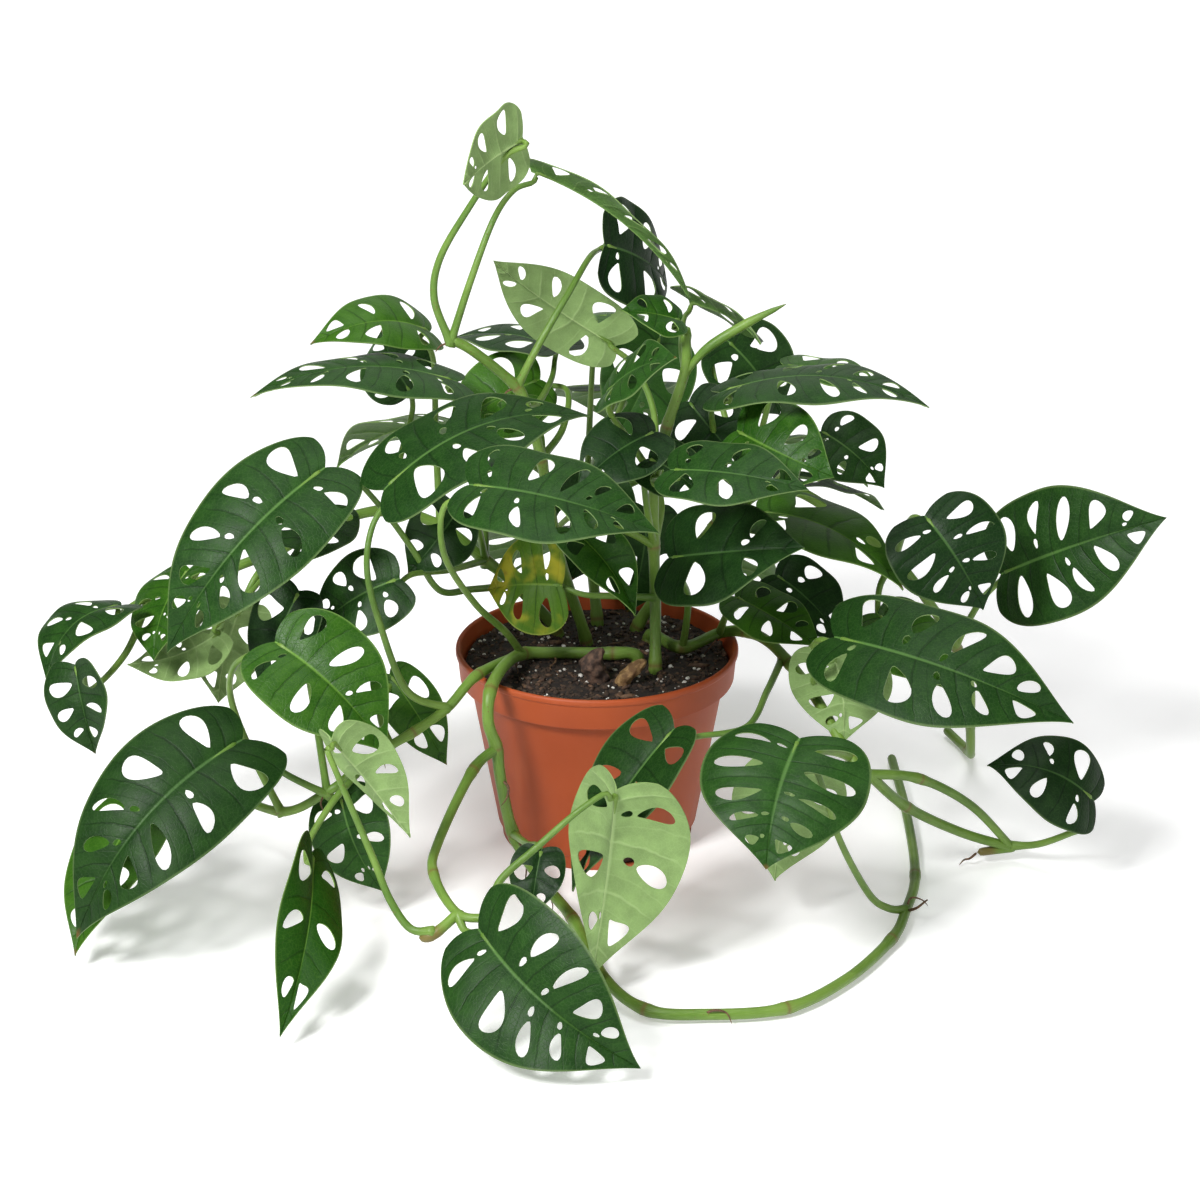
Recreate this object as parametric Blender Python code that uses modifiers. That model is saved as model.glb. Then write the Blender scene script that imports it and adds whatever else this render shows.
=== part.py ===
"""Monstera adansonii in its nursery pot, built in Blender at real size.

Lengths are in millimetres and are turned into metres where a mesh is made.
The frame has +Z up, the pot stands on Z = 0 at the origin, and the side that
the photograph shows looks along +Y, so negative Y is nearer to the camera.
"""

import math
from dataclasses import dataclass

import bmesh
import bpy
from mathutils import Vector

MM = 0.001
GAP = 0.3

# Pot: a six inch azalea pot of thin plastic, with a stepped rim band
POT_RIM_RADIUS = 76.0
POT_HEIGHT = 110.0
POT_BAND_HEIGHT = 17.5
POT_NECK_RADIUS = 68.5
POT_FOOT_RADIUS = 52.5
POT_FOOT_HEIGHT = 9.0
POT_WALL = 1.5
POT_SIDES = 32
DRAIN_COUNT = 6
DRAIN_WIDTH = 9.0
DRAIN_HEIGHT = 5.0

# Soil and what stands in it
SOIL_LEVEL = 102.0
SOIL_RADIUS = 66.6
HOLE_CLEARANCE = 1.2
HOLE_SIDES = 8

# Vines, leaf stalks and blades
VINE_RADIUS = 3.2
VINE_RESOLUTION = 1
STALK_RESOLUTION = 0
STALK_ROOT_RADIUS = 2.1
STALK_TIP_RADIUS = 1.4
BLADE_THICKNESS = 0.9
SEAT_ALONG = 0.03
SEAT_APPROACH = 5.0

GREEN_DARK = (0.020, 0.075, 0.030)
GREEN_DEEP = (0.014, 0.052, 0.026)
GREEN_FRESH = (0.045, 0.150, 0.028)
GREEN_PALE = (0.120, 0.260, 0.070)
GREEN_STEM = (0.110, 0.230, 0.050)
GREEN_YELLOWING = (0.100, 0.140, 0.020)
TERRACOTTA = (0.420, 0.110, 0.045)
SOIL_BROWN = (0.030, 0.018, 0.012)
DRY_BROWN = (0.100, 0.055, 0.035)
DRY_TAN = (0.300, 0.170, 0.070)


@dataclass
class Leaf:
    """One blade: where it lies, how it bends, and its slots.

    base and tip are the two ends of the midrib, face is the way that the
    upper side looks. The angles are in degrees: fold lifts each half at the
    midrib, curl bends it down towards the margin, twist turns the tip
    against the base. arch and ripple are shares of the length and the width.
    stalk lists the places that the leaf stalk passes from vine to blade.
    A fused leaf is pale or small and is one body with its vine.
    """

    name: str
    base: tuple
    tip: tuple
    width: float
    face: tuple
    stalk: tuple = ()
    colour: tuple = GREEN_DARK
    arch: float = 0.08
    fold: float = 12.0
    curl: float = 28.0
    twist: float = 0.0
    ripple: float = 0.05
    slots: int = 4
    slot_width: float = 0.34
    shift: float = 0.0
    fused: bool = False


@dataclass
class Vine:
    """A stem with its branches; each branch is a route and its node places."""

    name: str
    routes: tuple
    leaves: tuple
    colour: tuple = GREEN_STEM


# Leaves that grow from the long vine over the front of the pot

FRONT_LEAVES = (
    Leaf("leaf_left_centre", (-106, -94, 232), (-2, -56, 258), 74, (0, -0.2, 0.98),
         ((-77, -78, 107), (-97, -88, 121), (-109, -100, 163), (-114, -108, 195), (-111, -100, 216)),
         arch=0.12, fold=8, slots=4, slot_width=0.40),
    Leaf("leaf_centre_front", (-62, -132, 249), (31, -152, 231), 70, (0.1, -0.35, 0.93),
         ((-40, -14, 110), (-48, -36, 132), (-62, -80, 166), (-75, -116, 206), (-74, -128, 236)),
         arch=0.10, slots=5),
    Leaf("leaf_mid_left", (-159, -130, 166), (-102, -158, 117), 64, (0.4, -0.8, 0.45),
         ((-163, -95, 56), (-178, -90, 88), (-186, -96, 120), (-182, -112, 144), (-170, -124, 157)),
         colour=GREEN_FRESH, fold=18, slots=4),
    Leaf("leaf_left_lower", (-177, -125, 111), (-259, -175, 23), 76, (-0.35, -0.85, 0.4),
         ((-137, -105, 70), (-156, -112, 84), (-169, -120, 98)),
         colour=GREEN_DEEP, arch=0.16, curl=38, slots=5, slot_width=0.38),
    Leaf("leaf_left_lower_back", (-231, -88, 62), (-262, -166, 9), 50, (-0.35, -0.75, 0.5),
         ((-201, -60, 53), (-215, -68, 58), (-226, -78, 60)),
         colour=GREEN_FRESH, slots=3),
    Leaf("leaf_dark_hanging", (-132, -96, 66), (-110, -112, 18), 46, (-0.2, -0.9, 0.2),
         ((-126, -100, 79), (-129, -92, 74)),
         slots=3),
    Leaf("leaf_twisted", (-142, -150, 61), (-152, -246, 8), 40, (0.55, -0.35, 0.75),
         ((-120, -99, 83), (-134, -122, 74), (-145, -138, 60)),
         colour=GREEN_FRESH, twist=70, fold=20, slots=3),
    Leaf("leaf_left_blue", (-150, -88, 176), (-172, -98, 130), 38, (-0.2, -0.85, 0.4),
         ((-138, -105, 72), (-144, -92, 110), (-150, -84, 150)),
         colour=GREEN_DEEP, slots=2),
    Leaf("leaf_pale_front", (10, -185, 112), (-2, -196, 14), 78, (0.5, 0.85, -0.15),
         ((-50, -213, 58), (-47, -206, 72), (-29, -201, 88), (-10, -196, 104), (4, -191, 112)),
         colour=GREEN_PALE, arch=0.10, fold=38, curl=24, slots=3, fused=True),
    Leaf("leaf_crumpled", (-127, -190, 141), (-90, -185, 85), 42, (0.3, 0.85, 0.1),
         ((-79, -215, 50), (-90, -212, 50), (-100, -205, 62), (-108, -200, 82), (-121, -198, 117),
          (-129, -194, 137)),
         colour=GREEN_PALE, fold=45, ripple=0.05, slots=3, fused=True),
    Leaf("leaf_front_bottom", (-57, -225, 57), (22, -278, 10), 76, (-0.3, -0.8, 0.55),
         ((-67, -208, 56), (-64, -215, 51), (-59, -219, 51)),
         arch=0.10, fold=22, slots=5, slot_width=0.38),
    Leaf("leaf_pot_right", (100, -150, 123), (82, -195, 72), 90, (-0.2, -0.9, 0.35),
         ((160, -108, 6), (150, -118, 12), (139, -125, 24), (122, -140, 62), (109, -150, 104)),
         arch=0.10, curl=46, slots=5, slot_width=0.38),
    Leaf("leaf_left_low", (-108, -59, 118), (-78, -72, 71), 34, (-0.3, -0.85, 0.3),
         ((-106, -95, 93), (-112, -76, 106)),
         colour=GREEN_FRESH, slots=2, fused=True),
    Leaf("leaf_pot_left_low", (-28, -128, 51), (-33, -146, 21), 30, (-0.2, -0.9, 0.3),
         ((-44, -72, 32), (-36, -100, 40), (-30, -122, 50)),
         colour=GREEN_DEEP, slots=2, fused=True),
)

FRONT_ROUTES = (
    ((22, -12, 84), (22, -12, 105), (18, -12, 109.5), (8, -12, 109.5), (-24, -10, 109), (-40, -14, 110), (-49, -45, 116),
     (-55, -72, 114), (-56, -80, 100), (-52, -78, 84), (-50, -78, 66), (-44, -72, 32), (-30, -92, 16),
     (-12, -125, 9), (4, -185, 8), (24, -213, 6), (52, -216, 5), (92, -210, 5), (124, -180, 4.5),
     (150, -138, 4.5), (160, -108, 5), (169, -65, 4.5), (171, 10, 4.5), (169, 85, 4)),
    ((-40, -14, 110), (-62, -58, 117), (-77, -78, 107), (-94, -88, 98), (-106, -95, 93),
     (-126, -100, 79), (-138, -105, 72), (-163, -95, 56), (-201, -60, 53)),
    ((-52, -78, 84), (-64, -95, 79), (-79, -150, 66), (-80, -180, 63), (-67, -208, 56),
     (-50, -215, 57)),
    ((-67, -208, 56), (-79, -215, 48), (-86, -214, 46)),
)

# Leaves of the thick vine that leaves the pot on the right

RIGHT_LEAVES = (
    Leaf("leaf_centre_right", (36, -70, 187), (104, -105, 206), 66, (0, -0.6, 0.8),
         ((46, -5, 110), (48, -20, 145), (40, -52, 174)),
         colour=GREEN_DEEP, slots=2, slot_width=0.22, arch=0.06),
    Leaf("leaf_right_under", (72, -30, 150), (117, -55, 131), 42, (0.3, -0.5, 0.8),
         ((66, 10, 112), (69, -8, 130)),
         colour=GREEN_FRESH, slots=3),
    Leaf("leaf_right_front", (119, -100, 156), (236, -150, 130), 76, (0.1, -0.6, 0.8),
         ((102, -30, 111), (110, -60, 132), (114, -85, 148)),
         arch=0.14, slots=5, slot_width=0.40, curl=34),
    Leaf("leaf_right_pale", (121, -72, 136), (127, -78, 86), 56, (0.2, 0.9, -0.2),
         ((114, -55, 103), (112, -68, 118), (118, -77, 132)),
         colour=GREEN_PALE, slots=3, fused=True),
    Leaf("leaf_pot_front", (39, -125, 117), (-13, -150, 37), 58, (-0.6, -0.4, 0.7),
         ((98, -22, 110), (88, -70, 113), (76, -110, 111), (52, -124, 112)),
         colour=GREEN_DARK, fold=20, slots=4),
    Leaf("leaf_pot_under", (103, -118, 92), (91, -118, 27), 60, (0.1, 0.9, -0.3),
         ((131, -85, 82), (120, -100, 92), (110, -114, 97)),
         colour=GREEN_PALE, slots=3, fused=True),
    Leaf("leaf_right_low", (261, -70, 50), (204, -60, 66), 56, (-0.1, -0.5, 0.85),
         ((223, -42, 10), (236, -50, 15), (250, -60, 26), (260, -68, 36)),
         colour=GREEN_DEEP, arch=0.25, fold=6, slots=3),
    Leaf("leaf_right_deep", (95, 6, 148), (131, -8, 114), 50, (0.4, -0.6, 0.6),
         ((80, 3, 116), (86, 8, 134)),
         colour=GREEN_DEEP, slots=2, fused=True),
)

RIGHT_ROUTES = (
    ((28, 16, 84), (28, 16, 105), (31, 13, 109.5), (46, -5, 110), (66, 10, 112), (80, 3, 116), (92, -10, 115), (102, -30, 111),
     (114, -55, 103), (131, -85, 82), (140, -90, 75), (162, -70, 47), (194, -50, 22), (223, -42, 9)),
    ((140, -90, 75), (168, -72, 64), (198, -54, 40), (223, -42, 9)),
    ((223, -42, 9), (204, -44, 7)),
)

# Leaves of the vine that climbs to the top of the plant

TOP_LEAVES = (
    Leaf("leaf_top_pale", (-37, -25, 393), (-66, -55, 377), 56, (-0.3, 0.85, 0.4),
         ((-74, -35, 290), (-82, -32, 312), (-79, -28, 332), (-64, -27, 358), (-46, -28, 384)),
         colour=GREEN_PALE, slots=3, fused=True),
    Leaf("leaf_top_droop", (-33, -2, 372), (49, 4, 301), 52, (0.6, 0.3, 0.72),
         ((-74, -35, 290), (-64, -30, 320), (-52, -20, 350), (-42, -8, 362)),
         fold=20, slots=5),
    Leaf("leaf_top_dark", (4, 30, 323), (38, 76, 288), 64, (0.3, -0.75, 0.6),
         ((-41, -25, 263), (-30, -21, 284), (-14, -8, 309), (-4, 12, 321)),
         colour=GREEN_DEEP, slots=3, slot_width=0.48),
    Leaf("leaf_top_left_dark", (-20, 40, 262), (-84, 88, 252), 60, (0, 0.05, 1),
         ((-36, -24, 250), (-30, 4, 246), (-24, 30, 250)),
         slots=3),
    Leaf("leaf_top_mid_pale", (-32, -4, 238), (-62, 18, 236), 34, (0, -0.5, 0.85),
         ((-29, -18, 222), (-29, -10, 231)),
         colour=GREEN_FRESH, slots=2, fused=True),
    Leaf("leaf_core_left", (-30, 38, 247), (-80, 24, 224), 50, (0, -0.75, 0.65),
         ((-29, -18, 222), (-18, 6, 230), (-16, 34, 242)),
         colour=GREEN_FRESH, slots=2, fused=True),
)

TOP_ROUTES = (
    ((-6, 14, 84), (-6, 14, 106), (-20, 2, 160), (-29, -18, 222), (-36, -24, 250), (-41, -25, 263),
     (-62, -32, 284), (-74, -35, 292)),
)

# Leaves of the upright stem in the middle, which ends in a rolled young leaf

UPRIGHT_LEAVES = (
    Leaf("leaf_pale_left", (10, 30, 268), (-54, 6, 322), 44, (0.2, 0.85, -0.1),
         ((30, -20, 211), (30, 6, 238), (20, 24, 258)),
         colour=GREEN_PALE, slots=3, slot_width=0.26, fused=True),
    Leaf("leaf_top_edge", (50, 60, 284), (86, 10, 275), 50, (0.6, 0.3, 0.72),
         ((45, -30, 274), (44, 4, 276), (46, 44, 278)),
         slots=3),
    Leaf("leaf_blue_top", (4, -62, 272), (40, -78, 296), 48, (0, -0.35, 0.93),
         ((30, -20, 211), (18, -36, 236), (6, -52, 260)),
         slots=3),
    Leaf("leaf_top_bright", (43, -22, 298), (12, -30, 306), 34, (0, -0.4, 0.9),
         ((45, -28, 288), (46, -26, 294)),
         colour=GREEN_FRESH, slots=2, fused=True),
    Leaf("leaf_crinkled", (36, -94, 243), (104, -124, 243), 46, (0, -0.5, 0.86),
         ((30, -20, 211), (33, -50, 222), (34, -80, 234)),
         ripple=0.07, slots=3),
    Leaf("leaf_yellowing", (-18, -36, 158), (-58, -22, 150), 56, (-0.1, -0.85, 0.4),
         ((31, -8, 140), (14, -26, 148), (-6, -34, 152)),
         colour=GREEN_YELLOWING, slots=3),
    Leaf("leaf_small_centre", (-14, -56, 198), (20, -84, 160), 34, (0.1, -0.7, 0.7),
         ((30, -14, 172), (12, -32, 188), (-8, -48, 195)),
         colour=GREEN_FRESH, fold=35, slots=2),
    Leaf("leaf_centre_dark", (30, -56, 250), (-10, -76, 226), 44, (-0.1, -0.6, 0.75),
         ((30, -20, 211), (34, -34, 230), (34, -50, 244)),
         colour=GREEN_DEEP, slots=2, fused=True),
    Leaf("leaf_small_dark", (26, -46, 232), (54, -58, 214), 36, (0.1, -0.6, 0.7),
         ((30, -14, 172), (26, -30, 198), (24, -40, 222)),
         slots=2, fused=True),
    Leaf("leaf_stem_dark", (27, 8, 184), (16, 14, 122), 44, (0.1, -0.9, 0.2),
         ((30, -14, 172), (34, -6, 190), (31, 7, 197)),
         colour=GREEN_DEEP, slots=1, fused=True),
)

UPRIGHT_ROUTES = (
    ((31, -22, 84), (31, -22, 106), (31, -8, 140), (30, -14, 172), (30, -20, 211), (36, -26, 242),
     (45, -30, 274), (45, -28, 294)),
)

SPEAR_ROUTE = ((45, -30, 272), (56, -32, 286), (76, -31, 299), (96, -30, 309))
SPEAR_RADII = (1.6, 2.6, 2.4, 0.8)

# Leaves on the right, of a stem that leans back and to the right

FAR_RIGHT_LEAVES = (
    Leaf("leaf_right_far", (216, 10, 146), (297, -30, 194), 74, (0.1, -0.85, 0.5),
         ((196, 26, 98), (208, 22, 126)),
         arch=0.08, slots=5, slot_width=0.40),
    Leaf("leaf_right_round", (169, -38, 198), (200, -56, 152), 66, (0.1, -0.9, 0.35),
         ((160, 16, 152), (162, 0, 172), (165, -20, 190)),
         colour=GREEN_DEEP, arch=0.12, curl=34, slots=4),
    Leaf("leaf_right_long", (62, -45, 267), (168, -62, 264), 70, (0, 0, 1),
         ((64, 28, 168), (62, 4, 220), (59, -30, 254)),
         arch=0.12, fold=6, slots=5),
    Leaf("leaf_right_bright", (70, -66, 254), (118, -98, 240), 56, (0.2, -0.85, 0.45),
         ((64, 28, 168), (96, -8, 208), (90, -46, 234)),
         colour=GREEN_FRESH, slots=3),
    Leaf("leaf_right_back_bright", (99, 34, 256), (152, 24, 244), 50, (0, 0, 1),
         ((80, 26, 188), (88, 30, 222), (94, 34, 242)),
         colour=GREEN_FRESH, slots=3),
    Leaf("leaf_right_small", (117, 0, 231), (150, -20, 206), 45, (0.3, -0.7, 0.5),
         ((104, 24, 190), (110, 16, 212)),
         slots=3),
    Leaf("leaf_right_arch", (84, -22, 194), (159, -54, 162), 58, (0.2, -0.2, 0.95),
         ((80, 26, 188), (80, 4, 184), (81, -14, 184)),
         colour=GREEN_FRESH, arch=0.16, slots=2, slot_width=0.24),
    Leaf("leaf_right_edge_dark", (96, 56, 186), (160, 76, 158), 60, (0.1, 0.2, 1),
         ((104, 24, 190), (99, 42, 180)),
         colour=GREEN_DEEP, slots=3),
    Leaf("leaf_right_lower_mid", (150, 0, 128), (186, -30, 96), 52, (0.3, -0.6, 0.7),
         ((160, 16, 152), (152, 12, 138)),
         colour=GREEN_FRESH, slots=3),
    Leaf("leaf_mid_round", (48, 4, 246), (78, -14, 216), 44, (0.2, -0.8, 0.5),
         ((80, 26, 188), (70, 18, 220), (56, 10, 240)),
         colour=GREEN_DEEP, slots=2, fused=True),
    Leaf("leaf_core_right", (70, 66, 260), (100, 74, 214), 52, (0.1, -0.85, 0.4),
         ((80, 26, 188), (72, 46, 212), (62, 64, 248)),
         slots=2, fused=True),
)

FAR_RIGHT_ROUTES = (
    ((22, 34, 84), (22, 34, 106), (44, 32, 140), (64, 28, 168), (80, 26, 188), (104, 24, 190),
     (132, 20, 174), (160, 16, 152), (180, 18, 126), (196, 26, 98), (206, 38, 70), (209, 50, 42),
     (212, 66, 16), (214, 92, 4.5), (204, 122, 4.5)),
)

# Leaves on the left, of a stem that leans back and to the left

FAR_LEFT_LEAVES = (
    Leaf("leaf_left_upper", (-136, -70, 236), (-216, -110, 150), 70, (-0.3, -0.8, 0.5),
         ((-44, 20, 136), (-66, -16, 148), (-82, -42, 158), (-95, -50, 184), (-110, -58, 210),
          (-127, -66, 232)),
         arch=0.14, curl=34, slots=5, slot_width=0.38),
    Leaf("leaf_left_top_bright", (-88, 36, 274), (-150, 6, 276), 44, (-0.1, -0.5, 0.85),
         ((-84, 16, 172), (-86, 30, 216), (-87, 38, 258)),
         colour=GREEN_FRESH, arch=0.2, slots=3),
    Leaf("leaf_left_top_long", (-72, -6, 260), (-178, -34, 260), 66, (0, 0, 1),
         ((-60, 16, 152), (-60, 10, 200), (-67, 0, 248)),
         arch=0.10, fold=6, slots=5),
    Leaf("leaf_left_top_loop", (-100, 54, 234), (-116, 64, 267), 44, (-0.2, -0.8, 0.5),
         ((-112, 12, 182), (-106, 40, 202), (-100, 60, 222)),
         colour=GREEN_DEEP, slots=3, slot_width=0.40),
    Leaf("leaf_left_slotted", (-142, -24, 198), (-158, -60, 176), 52, (-0.2, -0.7, 0.6),
         ((-140, 4, 178), (-140, -10, 188)),
         slots=3),
    Leaf("leaf_left_open", (-100, -76, 178), (-146, -74, 146), 48, (-0.2, -0.7, 0.6),
         ((-60, 16, 152), (-78, -24, 162), (-94, -60, 174)),
         slots=3, slot_width=0.40),
    Leaf("leaf_left_behind", (-212, -36, 168), (-228, -72, 130), 56, (-0.6, -0.5, 0.6),
         ((-192, -16, 160), (-204, -20, 168)),
         colour=GREEN_FRESH, slots=4),
    Leaf("leaf_far_left", (-246, -50, 153), (-281, -88, 125), 54, (-0.5, -0.3, 0.8),
         ((-236, -20, 146), (-246, -34, 144)),
         arch=0.2, slots=3),
    Leaf("leaf_far_left_low", (-264, -98, 140), (-254, -112, 96), 42, (-0.5, -0.8, 0.3),
         ((-236, -20, 146), (-246, -44, 124), (-260, -80, 118)),
         colour=GREEN_DEEP, fold=24, slots=3),
    Leaf("leaf_left_pale", (-196, -36, 132), (-246, -48, 118), 46, (0, 0.3, -0.9),
         ((-168, -4, 166), (-182, -24, 150)),
         colour=GREEN_PALE, slots=3, fused=True),
    Leaf("leaf_left_pale_low", (-188, -20, 140), (-200, -40, 92), 44, (-0.1, 0.9, -0.2),
         ((-168, -4, 166), (-180, -20, 156)),
         colour=GREEN_PALE, slots=2, fused=True),
    Leaf("leaf_left_inner", (-72, -36, 200), (-98, -50, 170), 40, (-0.1, -0.8, 0.5),
         ((-60, 16, 152), (-64, -10, 184)),
         colour=GREEN_DEEP, slots=2, fused=True),
)

FAR_LEFT_ROUTES = (
    ((-22, 26, 84), (-22, 26, 106), (-44, 20, 136), (-60, 16, 152), (-84, 16, 172), (-112, 12, 182),
     (-140, 4, 178), (-168, -4, 166), (-192, -16, 160), (-214, -14, 150), (-236, -20, 146)),
)

# Leaves of the stem at the back: the core ones fill the middle, the photograph doesn't show the others

BACK_LEAVES = (
    Leaf("leaf_back_left", (-70, 104, 196), (-150, 140, 160), 72, (-0.3, 0.6, 0.8),
         ((-24, 92, 170), (-44, 98, 182), (-62, 102, 186)),
         arch=0.12, slots=3),
    Leaf("leaf_back_centre", (10, 130, 210), (24, 214, 150), 76, (0, 0.6, 0.8),
         ((-4, 94, 168), (2, 108, 190), (8, 120, 202)),
         arch=0.14, slots=4, slot_width=0.38),
    Leaf("leaf_back_right", (80, 100, 190), (156, 136, 150), 72, (0.3, 0.6, 0.8),
         ((14, 92, 166), (44, 94, 178), (70, 98, 182)),
         arch=0.12, slots=3),
    Leaf("leaf_back_low", (-30, 146, 120), (-60, 210, 60), 70, (-0.2, 0.7, 0.6),
         ((0, 112, 150), (-14, 124, 138), (-26, 136, 122)),
         colour=GREEN_DEEP, arch=0.12, slots=3),
    Leaf("leaf_back_low_right", (62, 138, 112), (92, 196, 52), 66, (0.3, 0.7, 0.6),
         ((0, 112, 150), (24, 122, 138), (50, 130, 118)),
         arch=0.12, slots=3),
    Leaf("leaf_back_high", (0, 90, 262), (-10, 160, 232), 60, (0, 0.5, 0.85),
         ((-6, 76, 158), (-4, 80, 210), (-2, 84, 248)),
         colour=GREEN_FRESH, arch=0.12, slots=3),
    Leaf("leaf_core_high", (34, 62, 264), (8, 50, 208), 54, (0.1, -0.9, 0.35),
         ((-6, 76, 158), (8, 74, 206), (26, 70, 250)),
         slots=2, fused=True),
    Leaf("leaf_core_low", (0, 36, 194), (-14, 30, 134), 50, (-0.1, -0.9, 0.2),
         ((-6, 76, 158), (-2, 60, 190), (3, 42, 206)),
         colour=GREEN_DEEP, slots=1, fused=True),
)

BACK_ROUTES = (
    ((0, 44, 84), (0, 44, 106), (-4, 62, 140), (-6, 76, 158), (-4, 94, 168), (0, 112, 150)),
    ((-4, 94, 168), (14, 92, 166)),
    ((-4, 94, 168), (-24, 92, 170)),
)

VINES = (
    Vine("vine_front", FRONT_ROUTES, FRONT_LEAVES),
    Vine("vine_right", RIGHT_ROUTES, RIGHT_LEAVES),
    Vine("vine_top", TOP_ROUTES, TOP_LEAVES),
    Vine("vine_upright", UPRIGHT_ROUTES, UPRIGHT_LEAVES),
    Vine("vine_far_right", FAR_RIGHT_ROUTES, FAR_RIGHT_LEAVES),
    Vine("vine_far_left", FAR_LEFT_ROUTES, FAR_LEFT_LEAVES),
    Vine("vine_back", BACK_ROUTES, BACK_LEAVES),
)

STUBS = (
    ("stub_dark", ((0, -34, 90), (0, -34, 105), (-3, -35, 114), (2, -34, 122)), (4.5, 6.0, 6.5, 3.0),
     DRY_BROWN),
    ("stub_tan", ((14, -40, 90), (14, -40, 105), (19, -40, 112), (24, -40, 118)), (2.6, 3.2, 5.0, 3.5),
     DRY_TAN),
)


def clear_scene():
    """Remove every object that the file starts with."""
    for thing in list(bpy.data.objects):
        bpy.data.objects.remove(thing, do_unlink=True)


def make_collection(name, hidden=False):
    """Return a new collection linked to the scene."""
    group = bpy.data.collections.new(name)
    bpy.context.scene.collection.children.link(group)
    group.hide_render = hidden
    return group


def make_material(name, colour, roughness):
    """Return a Principled material of one colour."""
    material = bpy.data.materials.new(name)
    material.use_nodes = True
    shader = material.node_tree.nodes["Principled BSDF"]
    shader.inputs["Base Color"].default_value = (*colour, 1.0)
    shader.inputs["Roughness"].default_value = roughness
    shader.inputs["Metallic"].default_value = 0.0
    material.diffuse_color = (*colour, 1.0)
    return material


def add_object(name, mesh, group, material=None):
    """Link a mesh to a collection as a named object."""
    thing = bpy.data.objects.new(name, mesh)
    group.objects.link(thing)
    if material:
        mesh.materials.append(material)
    return thing


def realise(thing, name, group, material=None):
    """Turn an object with curves or modifiers into a plain welded mesh."""
    graph = bpy.context.evaluated_depsgraph_get()
    graph.update()
    mesh = bpy.data.meshes.new_from_object(thing.evaluated_get(graph))
    mesh.materials.clear()
    place = thing.matrix_world.copy()
    bpy.data.objects.remove(thing, do_unlink=True)
    weld(mesh)
    result = add_object(name, mesh, group, material)
    result.matrix_world = place
    return result


def weld(mesh):
    """Join doubled vertices and make the faces look outwards."""
    work = bmesh.new()
    work.from_mesh(mesh)
    bmesh.ops.remove_doubles(work, verts=work.verts, dist=0.002 * MM)
    bmesh.ops.dissolve_degenerate(work, edges=work.edges, dist=0.002 * MM)
    bmesh.ops.recalc_face_normals(work, faces=work.faces)
    work.to_mesh(mesh)
    work.free()


def shade_smooth(thing, angle):
    """Shade a mesh smooth, with the edges above an angle kept sharp."""
    thing.data.shade_smooth()
    thing.data.set_sharp_from_angle(angle=math.radians(angle))


def between(first, second, share):
    """Return the value part of the way from first to second."""
    return first + (second - first) * share


def catmull(points, steps):
    """Return a smooth route through points, with steps to each span."""
    spots = [Vector(point) for point in points]
    ends = [spots[0] * 2 - spots[1]] + spots + [spots[-1] * 2 - spots[-2]]
    route = []
    for index in range(1, len(ends) - 2):
        before, start, stop, after = ends[index - 1:index + 3]
        for step in range(steps):
            t = step / steps
            pull = (stop - before) * t + (before * 2 - start * 5 + stop * 4 - after) * t ** 2
            pull += (start * 3 - before - stop * 3 + after) * t ** 3
            route.append(start + pull * 0.5)
    route.append(spots[-1])
    return route


def tube(name, points, radii, group, sides_setting):
    """Return a closed mesh tube through points, with a radius at each."""
    curve = bpy.data.curves.new(name, "CURVE")
    curve.dimensions = "3D"
    curve.bevel_depth = MM
    curve.bevel_resolution = sides_setting
    curve.use_fill_caps = True
    line = curve.splines.new("POLY")
    line.points.add(len(points) - 1)
    for spot, place, radius in zip(line.points, points, radii):
        spot.co = (*(Vector(place) * MM), 1.0)
        spot.radius = radius
    thing = bpy.data.objects.new(name, curve)
    group.objects.link(thing)
    return realise(thing, name, group)


def boolean(thing, operand, kind):
    """Apply a Boolean with all the objects of a collection, and remove them."""
    before = len(thing.data.polygons)
    for solver in ("EXACT", "MANIFOLD"):
        cut = thing.modifiers.new("boolean", "BOOLEAN")
        cut.operation = kind
        cut.operand_type = "COLLECTION"
        cut.collection = operand
        cut.solver = solver
        graph = bpy.context.evaluated_depsgraph_get()
        graph.update()
        mesh = bpy.data.meshes.new_from_object(thing.evaluated_get(graph))
        thing.modifiers.remove(cut)
        if len(mesh.polygons) > before // 2:
            break
    material = thing.data.materials[0] if thing.data.materials else None
    mesh.materials.clear()
    thing.data = mesh
    if material:
        mesh.materials.append(material)
    weld(mesh)
    for helper in list(operand.objects):
        bpy.data.objects.remove(helper, do_unlink=True)
    bpy.data.collections.remove(operand)


def turned(name, profile, group, material, sides):
    """Return a body turned about Z from a closed profile of (radius, height)."""
    mesh = bpy.data.meshes.new(name)
    corners = [(radius * MM, 0.0, height * MM) for radius, height in profile]
    links = [(index, (index + 1) % len(corners)) for index in range(len(corners) - 1)]
    mesh.from_pydata(corners, links, [])
    thing = add_object(name, mesh, group)
    screw = thing.modifiers.new("turn", "SCREW")
    screw.axis = "Z"
    screw.steps = sides
    screw.render_steps = sides
    screw.use_merge_vertices = True
    screw.merge_threshold = 0.00001
    screw.use_smooth_shade = False
    return realise(thing, name, group, material)


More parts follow.
